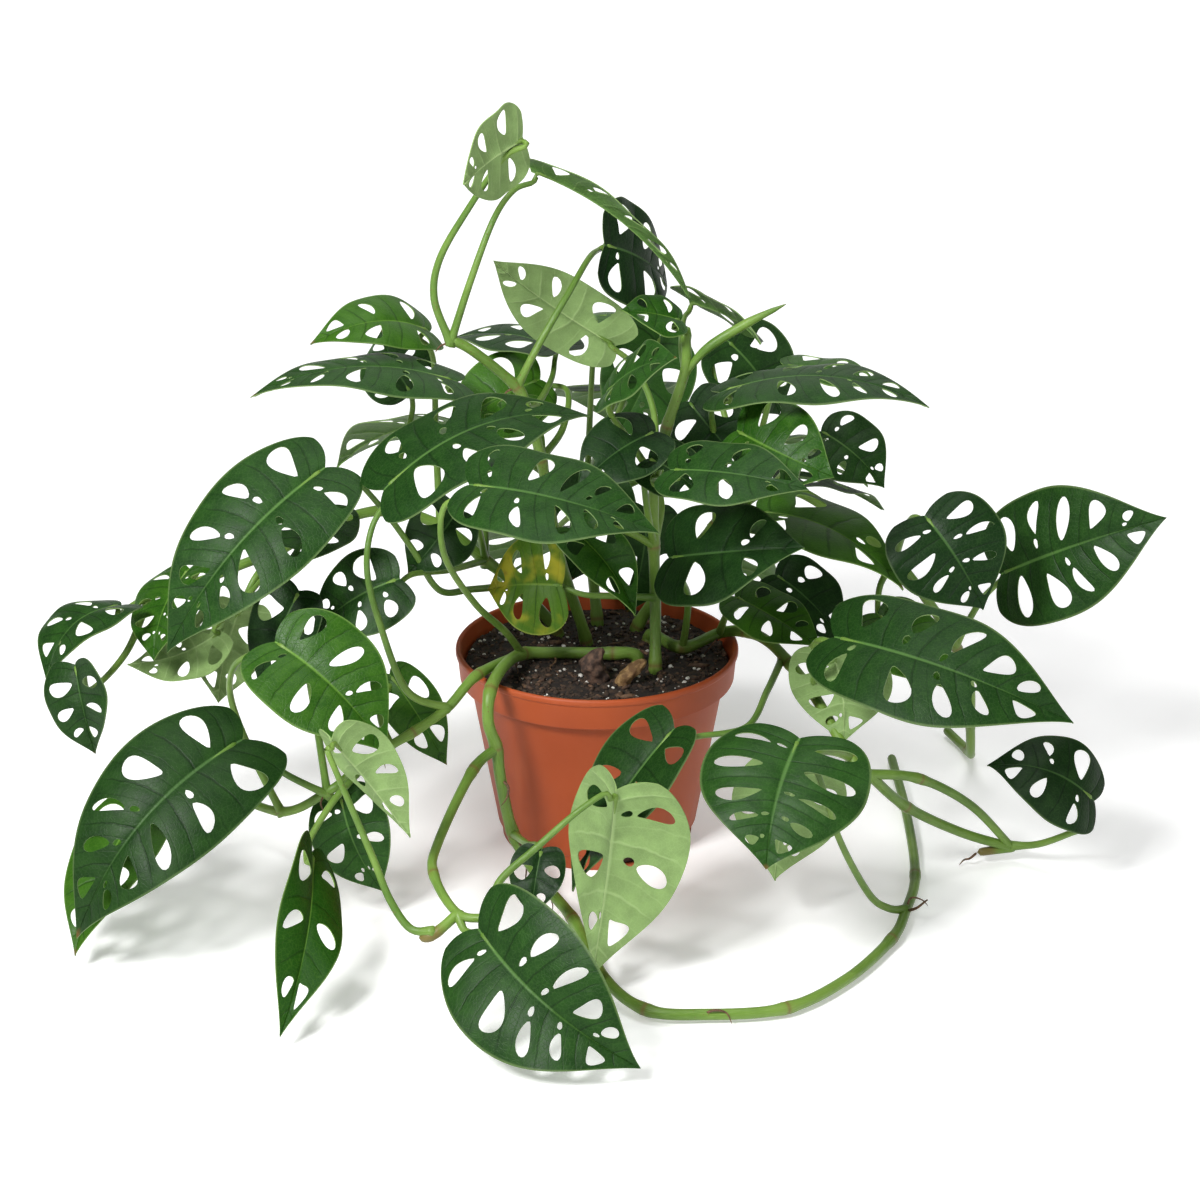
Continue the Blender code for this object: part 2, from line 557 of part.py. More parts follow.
def build_pot(group):
    """Model the pot: thin wall, stepped rim band, foot line and drain slots."""
    band_foot = POT_HEIGHT - POT_BAND_HEIGHT
    foot_line = POT_FOOT_RADIUS + 1.6
    profile = [
        (0.0, POT_WALL + 0.5),
        (POT_FOOT_RADIUS - POT_WALL, POT_WALL + 0.5),
        (foot_line - POT_WALL, POT_FOOT_HEIGHT + 1.0),
        (POT_NECK_RADIUS - POT_WALL, band_foot + 0.5),
        (POT_RIM_RADIUS - POT_WALL - 3.0, band_foot + 5.5),
        (POT_RIM_RADIUS - POT_WALL - 1.4, POT_HEIGHT - 0.8),
        (POT_RIM_RADIUS - 1.2, POT_HEIGHT),
        (POT_RIM_RADIUS, POT_HEIGHT - 1.0),
        (POT_RIM_RADIUS, POT_HEIGHT - 3.5),
        (POT_RIM_RADIUS - 1.0, POT_HEIGHT - 4.2),
        (POT_RIM_RADIUS - 2.2, band_foot),
        (POT_NECK_RADIUS, band_foot - 1.0),
        (foot_line, POT_FOOT_HEIGHT),
        (POT_FOOT_RADIUS, POT_FOOT_HEIGHT - 1.2),
        (POT_FOOT_RADIUS - 0.8, 0.0),
        (0.0, 0.0),
    ]
    material = make_material("pot", TERRACOTTA, 0.5)
    pot = turned("pot", list(reversed(profile)), group, material, POT_SIDES)
    cutters = make_collection("drain_cutters", hidden=True)
    for index in range(DRAIN_COUNT):
        turn = math.radians(-72.0 + index * 360.0 / DRAIN_COUNT)
        bpy.ops.mesh.primitive_cube_add(size=1.0)
        slot = bpy.context.object
        slot.name = "drain_slot"
        slot.display_type = "WIRE"
        slot.hide_render = True
        slot.scale = (10.0 * MM, DRAIN_WIDTH * MM, DRAIN_HEIGHT * MM)
        slot.rotation_euler = (0.0, 0.0, turn)
        reach = POT_FOOT_RADIUS - 0.6
        slot.location = (reach * math.cos(turn) * MM, reach * math.sin(turn) * MM, 4.6 * MM)
        for owner in list(slot.users_collection):
            owner.objects.unlink(slot)
        cutters.objects.link(slot)
    boolean(pot, cutters, "DIFFERENCE")
    shade_smooth(pot, 35)
    return pot


def build_soil(group):
    """Model the soil: it fills the pot and has a plain hole for each stem."""
    band_foot = POT_HEIGHT - POT_BAND_HEIGHT
    inner_neck = POT_NECK_RADIUS - POT_WALL - GAP
    inner_band = POT_RIM_RADIUS - POT_WALL - 3.0 - GAP
    foot_line = POT_FOOT_RADIUS + 1.6
    profile = [
        (0.0, SOIL_LEVEL + 2.0),
        (SOIL_RADIUS * 0.9, SOIL_LEVEL),
        (inner_band, SOIL_LEVEL - 2.2),
        (inner_band, band_foot + 6.0),
        (inner_neck - 0.2, band_foot + 0.8),
        (foot_line - POT_WALL - GAP, POT_FOOT_HEIGHT + 1.2),
        (POT_FOOT_RADIUS - POT_WALL - 1.2, POT_WALL + 0.5 + GAP),
        (0.0, POT_WALL + 0.5 + GAP),
    ]
    material = make_material("soil", SOIL_BROWN, 0.95)
    soil = turned("soil", profile, group, material, POT_SIDES)
    cutters = make_collection("stem_holes", hidden=True)
    places = [(vine.routes[0][0], VINE_RADIUS) for vine in VINES]
    places += [(route[0], max(radii[:2])) for name, route, radii, colour in STUBS]
    for place, radius in places:
        bpy.ops.mesh.primitive_cylinder_add(
            vertices=HOLE_SIDES, radius=(radius + HOLE_CLEARANCE) * MM, depth=60.0 * MM,
            location=(place[0] * MM, place[1] * MM, (place[2] - GAP + 30.0) * MM))
        hole = bpy.context.object
        hole.name = "stem_hole"
        hole.display_type = "WIRE"
        hole.hide_render = True
        for owner in list(hole.users_collection):
            owner.objects.unlink(hole)
        cutters.objects.link(hole)
    boolean(soil, cutters, "DIFFERENCE")
    shade_smooth(soil, 30)
    return soil


def bezier(points, t):
    """Return the point at t on a Bezier curve of any degree in the plane."""
    spots = [Vector(point) for point in points]
    while len(spots) > 1:
        spots = [first.lerp(second, t) for first, second in zip(spots, spots[1:])]
    return spots[0]


# Half the outline of a blade of length 1 and half width 1, in two Bezier curves

LOBE_CURVE = ((0.0, 0.0), (-0.13, 0.25), (-0.12, 1.0), (0.33, 1.0))
TIP_CURVE = ((0.33, 1.0), (0.68, 1.0), (0.84, 0.26), (1.0, 0.0))
LOBE_START = 0.225


def margin_point(s):
    """Return the outline point at s, from 0 at the base to 1 at the tip."""
    if s < 0.5:
        return bezier(LOBE_CURVE, s * 2)
    return bezier(TIP_CURVE, s * 2 - 1)


def blade_point(p, q):
    """Return (x, y) for p along the midrib and q along the vein that leaves it."""
    start = Vector((p ** 1.15, 0.0))
    end = margin_point(between(LOBE_START, 1.0, p ** 0.9))
    middle = (start + end) / 2 + Vector((-0.06, 0.04)) * (1.0 - p)
    if p == 0.0:
        middle = (start + end) / 2 + Vector((-0.04, -0.04))
    return bezier((start, middle, end), q)


def bend(leaf, x, y):
    """Return the world place in millimetres of a point of the flat blade."""
    base = Vector(leaf.base)
    along = Vector(leaf.tip) - base
    length = along.length
    along.normalize()
    face = Vector(leaf.face)
    face = (face - along * face.dot(along)).normalized()
    across = face.cross(along)
    half = leaf.width / 2
    fold = math.radians(leaf.fold)
    curl = math.radians(leaf.curl)
    side = 1.0 if y >= 0 else -1.0
    reach = abs(y)
    out = half / curl * (math.sin(fold) - math.sin(fold - curl * reach))
    rise = half / curl * (math.cos(fold - curl * reach) - math.cos(fold))
    rise += leaf.ripple * half * reach ** 2 * math.sin(11.0 * x + leaf.shift * 7.0 + side)
    turn = math.radians(leaf.twist + 12.0 * math.sin(leaf.width * 1.7 + leaf.base[2])) * (x - 0.5)
    sideways = side * out * math.cos(turn) - rise * math.sin(turn)
    upwards = side * out * math.sin(turn) + rise * math.cos(turn)
    sideways += 0.20 * x * (1.0 - x) * length * math.sin(leaf.width * 2.3 + leaf.base[0])
    upwards += 4.0 * x * (1.0 - x) * leaf.arch * length
    return base + along * (x * length) + across * sideways + face * upwards


def slot_points(leaf, index, side):
    """Return the (p, q) corners of one slot, which widens from the midrib outwards."""
    spacing = 0.78 / leaf.slots
    offset = 0.12 * math.sin(5.0 * index + 3.0 * side + leaf.width + leaf.shift)
    centre = 0.10 + spacing * (index + 0.5 + offset)
    wide = spacing * leaf.slot_width
    inner = 0.20 + 0.06 * math.sin(index * 2.0 + side)
    outer = 0.80 + 0.04 * math.cos(index * 3.0 + leaf.width)
    return (centre, inner), (centre + wide * 0.9, outer - 0.12), (centre - wide * 0.9, outer)


def half_sheet(leaf, side, group):
    """Return a flat filled mesh of one half of a blade, with its slots."""
    outline = [(0.0, 0.0), (0.0, 0.5)]
    outline += [(p, 1.0) for p in (0.0, 0.16, 0.36, 0.58, 0.8)]
    outline += [(1.0, 0.0)] + [(p, 0.0) for p in (0.74, 0.46, 0.2)]
    loops = [outline] + [slot_points(leaf, index, side) for index in range(leaf.slots)]
    curve = bpy.data.curves.new("half", "CURVE")
    curve.dimensions = "2D"
    curve.fill_mode = "BOTH"
    for loop in loops:
        line = curve.splines.new("POLY")
        line.points.add(len(loop) - 1)
        line.use_cyclic_u = True
        for spot, (p, q) in zip(line.points, loop):
            place = blade_point(p, q)
            spot.co = (place.x, place.y * side, 0.0, 1.0)
    thing = bpy.data.objects.new("half", curve)
    group.objects.link(thing)
    return realise(thing, "half", group)


def build_blade(leaf, group):
    """Model one blade: flat sheet with slots, bent by formula, then thickened."""
    work = bmesh.new()
    for side in (1, -1):
        half = half_sheet(leaf, side, group)
        work.from_mesh(half.data)
        bpy.data.objects.remove(half, do_unlink=True)
    bmesh.ops.remove_doubles(work, verts=work.verts, dist=0.0005)
    bmesh.ops.triangulate(work, faces=work.faces)
    inner = [edge for edge in work.edges if len(edge.link_faces) == 2]
    bmesh.ops.beautify_fill(work, faces=work.faces, edges=inner)
    for vert in work.verts:
        vert.co = bend(leaf, vert.co.x, vert.co.y) * MM
    bmesh.ops.recalc_face_normals(work, faces=work.faces)
    mesh = bpy.data.meshes.new(leaf.name)
    work.to_mesh(mesh)
    work.free()
    sheet = add_object(leaf.name + "_sheet", mesh, group)
    solid = sheet.modifiers.new("thickness", "SOLIDIFY")
    solid.thickness = BLADE_THICKNESS * MM
    solid.offset = 0.0
    material = make_material(leaf.name, leaf.colour, 0.4)
    blade = realise(sheet, leaf.name, group, material)
    shade_smooth(blade, 50)
    return blade


def seat_of(leaf):
    """Return where the stalk ends under the blade, and the way it points."""
    spot = bend(leaf, SEAT_ALONG, 0.0)
    ahead = bend(leaf, SEAT_ALONG + 0.02, 0.0) - spot
    face = Vector(leaf.face)
    normal = (face - ahead * (face.dot(ahead) / ahead.length_squared)).normalized()
    below = 0.0 if leaf.fused else BLADE_THICKNESS / 2 + GAP + 0.15
    return spot - normal * below, normal


def build_stalk(leaf, group):
    """Model a leaf stalk from inside its vine up to the underside of the blade."""
    end, normal = seat_of(leaf)
    points = list(leaf.stalk) + [end - normal * SEAT_APPROACH]
    route = catmull(points, 2 if len(points) < 4 else 1) + [end]
    last = len(route) - 1
    radii = [between(STALK_ROOT_RADIUS, STALK_TIP_RADIUS, index / last) for index in range(last + 1)]
    radii[0] *= 1.2
    return tube(leaf.name + "_stalk", route, radii, group, STALK_RESOLUTION)


def build_vine(vine, group):
    """Model a vine: its stem and branches with the leaf stalks fused to it."""
    parts = make_collection(vine.name + "_parts", hidden=True)
    stem = None
    for index, route in enumerate(vine.routes):
        last = len(route) - 1
        shrink = 1.0 if index == 0 else 0.85
        radii = [VINE_RADIUS * shrink * between(1.0, 0.8, spot / last) for spot in range(last + 1)]
        owner = group if index == 0 else parts
        branch = tube(vine.name + "_branch", route, radii, owner, VINE_RESOLUTION)
        if index == 0:
            stem = branch
            stem.name = vine.name
    for leaf in vine.leaves:
        build_stalk(leaf, parts)
        if leaf.fused:
            build_blade(leaf, parts)
    if vine.name == "vine_upright":
        tube("spear", SPEAR_ROUTE, SPEAR_RADII, parts, VINE_RESOLUTION)
    boolean(stem, parts, "UNION")
    stem.data.materials.append(make_material(vine.name, vine.colour, 0.45))
    shade_smooth(stem, 60)
    return stem


def build_stubs(group):
    """Model the two dry stubs of old growth that stand in the soil."""
    for name, route, radii, colour in STUBS:
        stub = tube(name, route, radii, group, VINE_RESOLUTION)
        stub.data.materials.append(make_material(name, colour, 0.9))
        shade_smooth(stub, 60)


def main():
    """Build every piece of the plant and its pot."""
    clear_scene()
    plant = make_collection("monstera_adansonii")
    build_pot(plant)
    build_soil(plant)
    build_stubs(plant)
    for vine in VINES:
        build_vine(vine, plant)
        for leaf in vine.leaves:
            if not leaf.fused:
                build_blade(leaf, plant)


main()
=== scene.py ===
"""Looks of the potted Monstera adansonii: fine blades, stems, pot and soil.

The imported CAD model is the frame. Each of its nodes is replaced by finer
pieces of the same form. Lengths are in millimetres and become metres where
a mesh is made. +Z is up, and the camera looks along +Y.
"""

from __future__ import annotations

import logging
import math
import random
from dataclasses import dataclass, field
from enum import Enum
from typing import Callable

import bmesh
import bpy
from mathutils import Matrix, Vector, noise

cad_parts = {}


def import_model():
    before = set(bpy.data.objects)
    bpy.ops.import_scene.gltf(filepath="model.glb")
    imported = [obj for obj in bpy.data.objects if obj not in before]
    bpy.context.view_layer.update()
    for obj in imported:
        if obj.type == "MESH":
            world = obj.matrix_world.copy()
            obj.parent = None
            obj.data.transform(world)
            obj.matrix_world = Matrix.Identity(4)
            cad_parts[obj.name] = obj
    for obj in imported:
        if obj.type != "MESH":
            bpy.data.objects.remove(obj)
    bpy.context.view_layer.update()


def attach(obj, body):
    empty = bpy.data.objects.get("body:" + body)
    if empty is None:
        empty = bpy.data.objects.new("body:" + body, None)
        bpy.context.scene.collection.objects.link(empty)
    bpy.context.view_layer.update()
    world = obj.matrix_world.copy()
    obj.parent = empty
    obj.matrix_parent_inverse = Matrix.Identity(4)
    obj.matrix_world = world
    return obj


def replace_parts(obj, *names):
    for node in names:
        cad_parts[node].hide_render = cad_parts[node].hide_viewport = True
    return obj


LOG = logging.getLogger("monstera")

MM = 0.001

# Vines, leaf stalks and blades, as in the CAD
VINE_RADIUS = 3.2
STALK_ROOT_RADIUS = 2.1
STALK_TIP_RADIUS = 1.4
SEAT_ALONG = 0.03
SEAT_APPROACH = 5.0
SEAT_DEPTH = 0.9
SLOT_START = 0.10
SLOT_SPAN = 0.78

# How far a stem's start runs back into what it grows from
ROOT_DEPTH = 2.5

# The soil's side inside the pot, as (radius, height) from the top down to the middle of the bottom
SOIL_SIDE = ((71.0, 98.9), (66.3, 93.1), (60.0, 55.0), (52.2, 10.4), (49.6, 2.5), (25.0, 2.5), (0.0, 2.5))

# Points nearer than these are merged, in metres
SKIN_WELD = 0.00002
BLADE_WELD = 0.00004
POT_WELD = 0.00001

# The middle of the plant, which the camera and the lights face
MIDDLE = (1.6, 0.0, 135.4)

Place = Callable[[float, float], Vector]
Along = Callable[[float], float]
Socket = bpy.types.NodeSocket


class LeafKind(Enum):
    """How old a leaf is, which sets its colours."""

    DARK = "dark"
    DEEP = "deep"
    FRESH = "fresh"
    PALE = "pale"
    YELLOWING = "yellowing"


@dataclass
class Leaf:
    """One blade: where it lies, how it bends, and its slots.

    base and tip are the two ends of the midrib, face is the way that the
    upper side looks. The angles are in degrees: fold lifts each half at the
    midrib, curl bends it down towards the margin, twist turns the tip
    against the base. arch and ripple are shares of the length and the width.
    stalk lists the places that the leaf stalk passes from vine to blade.
    A fused leaf is one body with its vine in the CAD.
    """

    name: str
    base: tuple
    tip: tuple
    width: float
    face: tuple
    stalk: tuple = ()
    kind: LeafKind = LeafKind.DARK
    arch: float = 0.08
    fold: float = 12.0
    curl: float = 28.0
    twist: float = 0.0
    ripple: float = 0.05
    slots: int = 4
    slot_width: float = 0.34
    fused: bool = False


@dataclass
class Vine:
    """A stem with its branches; each branch is a route through its nodes."""

    name: str
    routes: tuple
    leaves: tuple
    spear: bool = False


# Leaves that grow from the long vine over the front of the pot

FRONT_LEAVES = (
    Leaf("leaf_left_centre", (-106, -94, 232), (-2, -56, 258), 74, (0, -0.2, 0.98),
         ((-77, -78, 107), (-97, -88, 121), (-109, -100, 163), (-114, -108, 195), (-111, -100, 216)),
         arch=0.12, fold=8, slot_width=0.40),
    Leaf("leaf_centre_front", (-62, -132, 249), (31, -152, 231), 70, (0.1, -0.35, 0.93),
         ((-40, -14, 110), (-48, -36, 132), (-62, -80, 166), (-75, -116, 206), (-74, -128, 236)),
         arch=0.10, slots=5),
    Leaf("leaf_mid_left", (-159, -130, 166), (-102, -158, 117), 64, (0.4, -0.8, 0.45),
         ((-163, -95, 56), (-178, -90, 88), (-186, -96, 120), (-182, -112, 144), (-170, -124, 157)),
         kind=LeafKind.FRESH, fold=18),
    Leaf("leaf_left_lower", (-177, -125, 111), (-259, -175, 23), 76, (-0.35, -0.85, 0.4),
         ((-137, -105, 70), (-156, -112, 84), (-169, -120, 98)),
         kind=LeafKind.DEEP, arch=0.16, curl=38, slots=5, slot_width=0.38),
    Leaf("leaf_left_lower_back", (-231, -88, 62), (-262, -166, 9), 50, (-0.35, -0.75, 0.5),
         ((-201, -60, 53), (-215, -68, 58), (-226, -78, 60)),
         kind=LeafKind.FRESH, slots=3),
    Leaf("leaf_dark_hanging", (-132, -96, 66), (-110, -112, 18), 46, (-0.2, -0.9, 0.2),
         ((-126, -100, 79), (-129, -92, 74)),
         slots=3),
    Leaf("leaf_twisted", (-142, -150, 61), (-152, -246, 8), 40, (0.55, -0.35, 0.75),
         ((-120, -99, 83), (-134, -122, 74), (-145, -138, 60)),
         kind=LeafKind.FRESH, twist=70, fold=20, slots=3),
    Leaf("leaf_left_blue", (-150, -88, 176), (-172, -98, 130), 38, (-0.2, -0.85, 0.4),
         ((-138, -105, 72), (-144, -92, 110), (-150, -84, 150)),
         kind=LeafKind.DEEP, slots=2),
    Leaf("leaf_pale_front", (10, -185, 112), (-2, -196, 14), 78, (0.5, 0.85, -0.15),
         ((-50, -213, 58), (-47, -206, 72), (-29, -201, 88), (-10, -196, 104), (4, -191, 112)),
         kind=LeafKind.PALE, arch=0.10, fold=38, curl=24, slots=3, fused=True),
    Leaf("leaf_crumpled", (-127, -190, 141), (-90, -185, 85), 42, (0.3, 0.85, 0.1),
         ((-79, -215, 50), (-90, -212, 50), (-100, -205, 62), (-108, -200, 82), (-121, -198, 117),
          (-129, -194, 137)),
         kind=LeafKind.PALE, fold=45, slots=3, fused=True),
    Leaf("leaf_front_bottom", (-57, -224.4, 57), (22, -277.4, 10), 76, (-0.3, -0.8, 0.55),
         ((-67, -208, 56), (-64, -215, 51), (-59, -219, 51)),
         arch=0.10, fold=22, slots=5, slot_width=0.38),
    Leaf("leaf_pot_right", (100, -150, 123), (82, -195, 72), 90, (-0.2, -0.9, 0.35),
         ((160, -108, 6), (150, -118, 12), (139, -125, 24), (122, -140, 62), (109, -150, 104)),
         arch=0.10, curl=46, slots=5, slot_width=0.38),
    Leaf("leaf_left_low", (-108, -59, 118), (-78, -72, 71), 34, (-0.3, -0.85, 0.3),
         ((-106, -95, 93), (-112, -76, 106)),
         kind=LeafKind.FRESH, slots=2, fused=True),
    Leaf("leaf_pot_left_low", (-28, -128, 51), (-33, -146, 21), 30, (-0.2, -0.9, 0.3),
         ((-44, -72, 32), (-36, -100, 40), (-30, -122, 50)),
         kind=LeafKind.DEEP, slots=2, fused=True),
)

FRONT_ROUTES = (
    ((22, -12, 84), (22, -12, 105), (18, -12, 109.5), (8, -12, 109.5), (-24, -10, 109),
     (-40, -14, 110), (-49, -45, 116), (-55, -72, 114),
     (-56, -80, 100), (-52, -78, 84), (-50, -78, 66), (-44, -72, 32), (-30, -92, 16),
     (-12, -125, 9), (4, -185, 8), (24, -213, 6), (52, -216, 5), (92, -210, 5), (124, -180, 4.5),
     (150, -138, 4.5), (160, -108, 5), (169, -65, 4.5), (171, 10, 4.5), (169, 85, 4)),
    ((-40, -14, 110), (-62, -58, 117), (-77, -78, 107), (-94, -88, 98), (-106, -95, 93),
     (-126, -100, 79), (-138, -105, 72), (-163, -95, 56), (-201, -60, 53)),
    ((-52, -78, 84), (-64, -95, 79), (-79, -150, 66), (-80, -180, 63), (-67, -208, 56),
     (-50, -215, 57)),
    ((-67, -208, 56), (-79, -215, 48), (-86, -214, 46)),
)

# Leaves of the thick vine that leaves the pot on the right

RIGHT_LEAVES = (
    Leaf("leaf_centre_right", (36, -70, 187), (104, -105, 206), 66, (0, -0.6, 0.8),
         ((46, -5, 110), (48, -20, 145), (40, -52, 174)),
         kind=LeafKind.DEEP, slots=2, slot_width=0.22, arch=0.06),
    Leaf("leaf_right_under", (72, -30, 150), (117, -55, 131), 42, (0.3, -0.5, 0.8),
         ((66, 10, 112), (69, -8, 130)),
         kind=LeafKind.FRESH, slots=3),
    Leaf("leaf_right_front", (119, -100, 156), (236, -150, 130), 76, (0.1, -0.6, 0.8),
         ((102, -30, 111), (110, -60, 132), (114, -85, 148)),
         arch=0.14, slots=5, slot_width=0.40, curl=34),
    Leaf("leaf_right_pale", (121, -72, 136), (127, -78, 86), 56, (0.2, 0.9, -0.2),
         ((114, -55, 103), (112, -68, 118), (118, -77, 132)),
         kind=LeafKind.PALE, slots=3, fused=True),
    Leaf("leaf_pot_front", (39, -125, 117), (-13, -150, 37), 58, (-0.6, -0.4, 0.7),
         ((98, -22, 110), (88, -70, 113), (76, -110, 111), (52, -124, 112)),
         fold=20),
    Leaf("leaf_pot_under", (103, -118, 92), (91, -118, 27), 60, (0.1, 0.9, -0.3),
         ((131, -85, 82), (120, -100, 92), (110, -114, 97)),
         kind=LeafKind.PALE, slots=3, fused=True),
    Leaf("leaf_right_low", (261, -70, 50), (204, -60, 66), 56, (-0.1, -0.5, 0.85),
         ((223, -42, 10), (236, -50, 15), (250, -60, 26), (260, -68, 36)),
         kind=LeafKind.DEEP, arch=0.25, fold=6, slots=3),
    Leaf("leaf_right_deep", (95, 6, 148), (131, -8, 114), 50, (0.4, -0.6, 0.6),
         ((80, 3, 116), (86, 8, 134)),
         kind=LeafKind.DEEP, slots=2, fused=True),
)

RIGHT_ROUTES = (
    ((28, 16, 84), (28, 16, 105), (31, 13, 109.5), (46, -5, 110), (66, 10, 112),
     (80, 3, 116), (92, -10, 115), (102, -30, 111), (114, -55, 103),
     (131, -85, 82), (140, -90, 75), (162, -70, 47), (194, -50, 22), (223, -42, 9)),
    ((140, -90, 75), (168, -72, 64), (198, -54, 40), (223, -42, 9)),
    ((223, -42, 9), (204, -44, 7)),
)

# Leaves of the vine that climbs to the top of the plant

TOP_LEAVES = (
    Leaf("leaf_top_pale", (-37, -25, 393), (-66, -55, 377), 56, (-0.3, 0.85, 0.4),
         ((-74, -35, 290), (-82, -32, 312), (-79, -28, 332), (-64, -27, 358), (-46, -28, 384)),
         kind=LeafKind.PALE, slots=3, fused=True),
    Leaf("leaf_top_droop", (-33, -2, 372), (49, 4, 301), 52, (0.6, 0.3, 0.72),
         ((-74, -35, 290), (-64, -30, 320), (-52, -20, 350), (-42, -8, 362)),
         fold=20, slots=5),
    Leaf("leaf_top_dark", (4, 30, 323), (38, 76, 288), 64, (0.3, -0.75, 0.6),
         ((-41, -25, 263), (-30, -21, 284), (-14, -8, 309), (-4, 12, 321)),
         kind=LeafKind.DEEP, slots=3, slot_width=0.48),
    Leaf("leaf_top_left_dark", (-20, 40, 262), (-84, 88, 252), 60, (0, 0.05, 1),
         ((-36, -24, 250), (-30, 4, 246), (-24, 30, 250)),
         slots=3),
    Leaf("leaf_top_mid_pale", (-32, -4, 238), (-62, 18, 236), 34, (0, -0.5, 0.85),
         ((-29, -18, 222), (-29, -10, 231)),
         kind=LeafKind.FRESH, slots=2, fused=True),
    Leaf("leaf_core_left", (-30, 38, 247), (-80, 24, 224), 50, (0, -0.75, 0.65),
         ((-29, -18, 222), (-18, 6, 230), (-16, 34, 242)),
         kind=LeafKind.FRESH, slots=2, fused=True),
)

TOP_ROUTES = (
    ((-6, 14, 84), (-6, 14, 106), (-20, 2, 160), (-29, -18, 222), (-36, -24, 250), (-41, -25, 263),
     (-62, -32, 284), (-74, -35, 292)),
)

# Leaves of the upright stem in the middle, which ends in a rolled young leaf

UPRIGHT_LEAVES = (
    Leaf("leaf_pale_left", (10, 30, 268), (-54, 6, 322), 44, (0.2, 0.85, -0.1),
         ((30, -20, 211), (30, 6, 238), (20, 24, 258)),
         kind=LeafKind.PALE, slots=3, slot_width=0.26, fused=True),
    Leaf("leaf_top_edge", (50, 60, 284), (86, 10, 275), 50, (0.6, 0.3, 0.72),
         ((45, -30, 274), (44, 4, 276), (46, 44, 278)),
         slots=3),
    Leaf("leaf_blue_top", (4, -62, 272), (40, -78, 296), 48, (0, -0.35, 0.93),
         ((30, -20, 211), (18, -36, 236), (6, -52, 260)),
         slots=3),
    Leaf("leaf_top_bright", (43, -22, 298), (12, -30, 306), 34, (0, -0.4, 0.9),
         ((45, -28, 288), (46, -26, 294)),
         kind=LeafKind.FRESH, slots=2, fused=True),
    Leaf("leaf_crinkled", (36, -94, 243), (104, -124, 243), 46, (0, -0.5, 0.86),
         ((30, -20, 211), (33, -50, 222), (34, -80, 234)),
         ripple=0.07, slots=3),
    Leaf("leaf_yellowing", (-18, -36, 158), (-58, -22, 150), 56, (-0.1, -0.85, 0.4),
         ((31, -8, 140), (14, -26, 148), (-6, -34, 152)),
         kind=LeafKind.YELLOWING, slots=3),
    Leaf("leaf_small_centre", (-14, -56, 198), (20, -84, 160), 34, (0.1, -0.7, 0.7),
         ((30, -14, 172), (12, -32, 188), (-8, -48, 195)),
         kind=LeafKind.FRESH, fold=35, slots=2),
    Leaf("leaf_centre_dark", (30, -56, 250), (-10, -76, 226), 44, (-0.1, -0.6, 0.75),
         ((30, -20, 211), (34, -34, 230), (34, -50, 244)),
         kind=LeafKind.DEEP, slots=2, fused=True),
    Leaf("leaf_small_dark", (26, -46, 232), (54, -58, 214), 36, (0.1, -0.6, 0.7),
         ((30, -14, 172), (26, -30, 198), (24, -40, 222)),
         slots=2, fused=True),
    Leaf("leaf_stem_dark", (27, 8, 184), (16, 14, 122), 44, (0.1, -0.9, 0.2),
         ((30, -14, 172), (34, -6, 190), (31, 7, 197)),
         kind=LeafKind.DEEP, slots=1, fused=True),
)

UPRIGHT_ROUTES = (
    ((31, -22, 84), (31, -22, 106), (31, -8, 140), (30, -14, 172), (30, -20, 211), (36, -26, 242),
     (45, -30, 274), (45, -28, 294)),
)

# The rolled young leaf: the places along it and its radii

SPEAR_ROUTE = ((45, -30, 272), (56, -32, 286), (76, -31, 299), (96, -30, 309))
SPEAR_RADII = (1.6, 2.6, 2.4, 0.8)

# Leaves on the right, of a stem that leans back and to the right

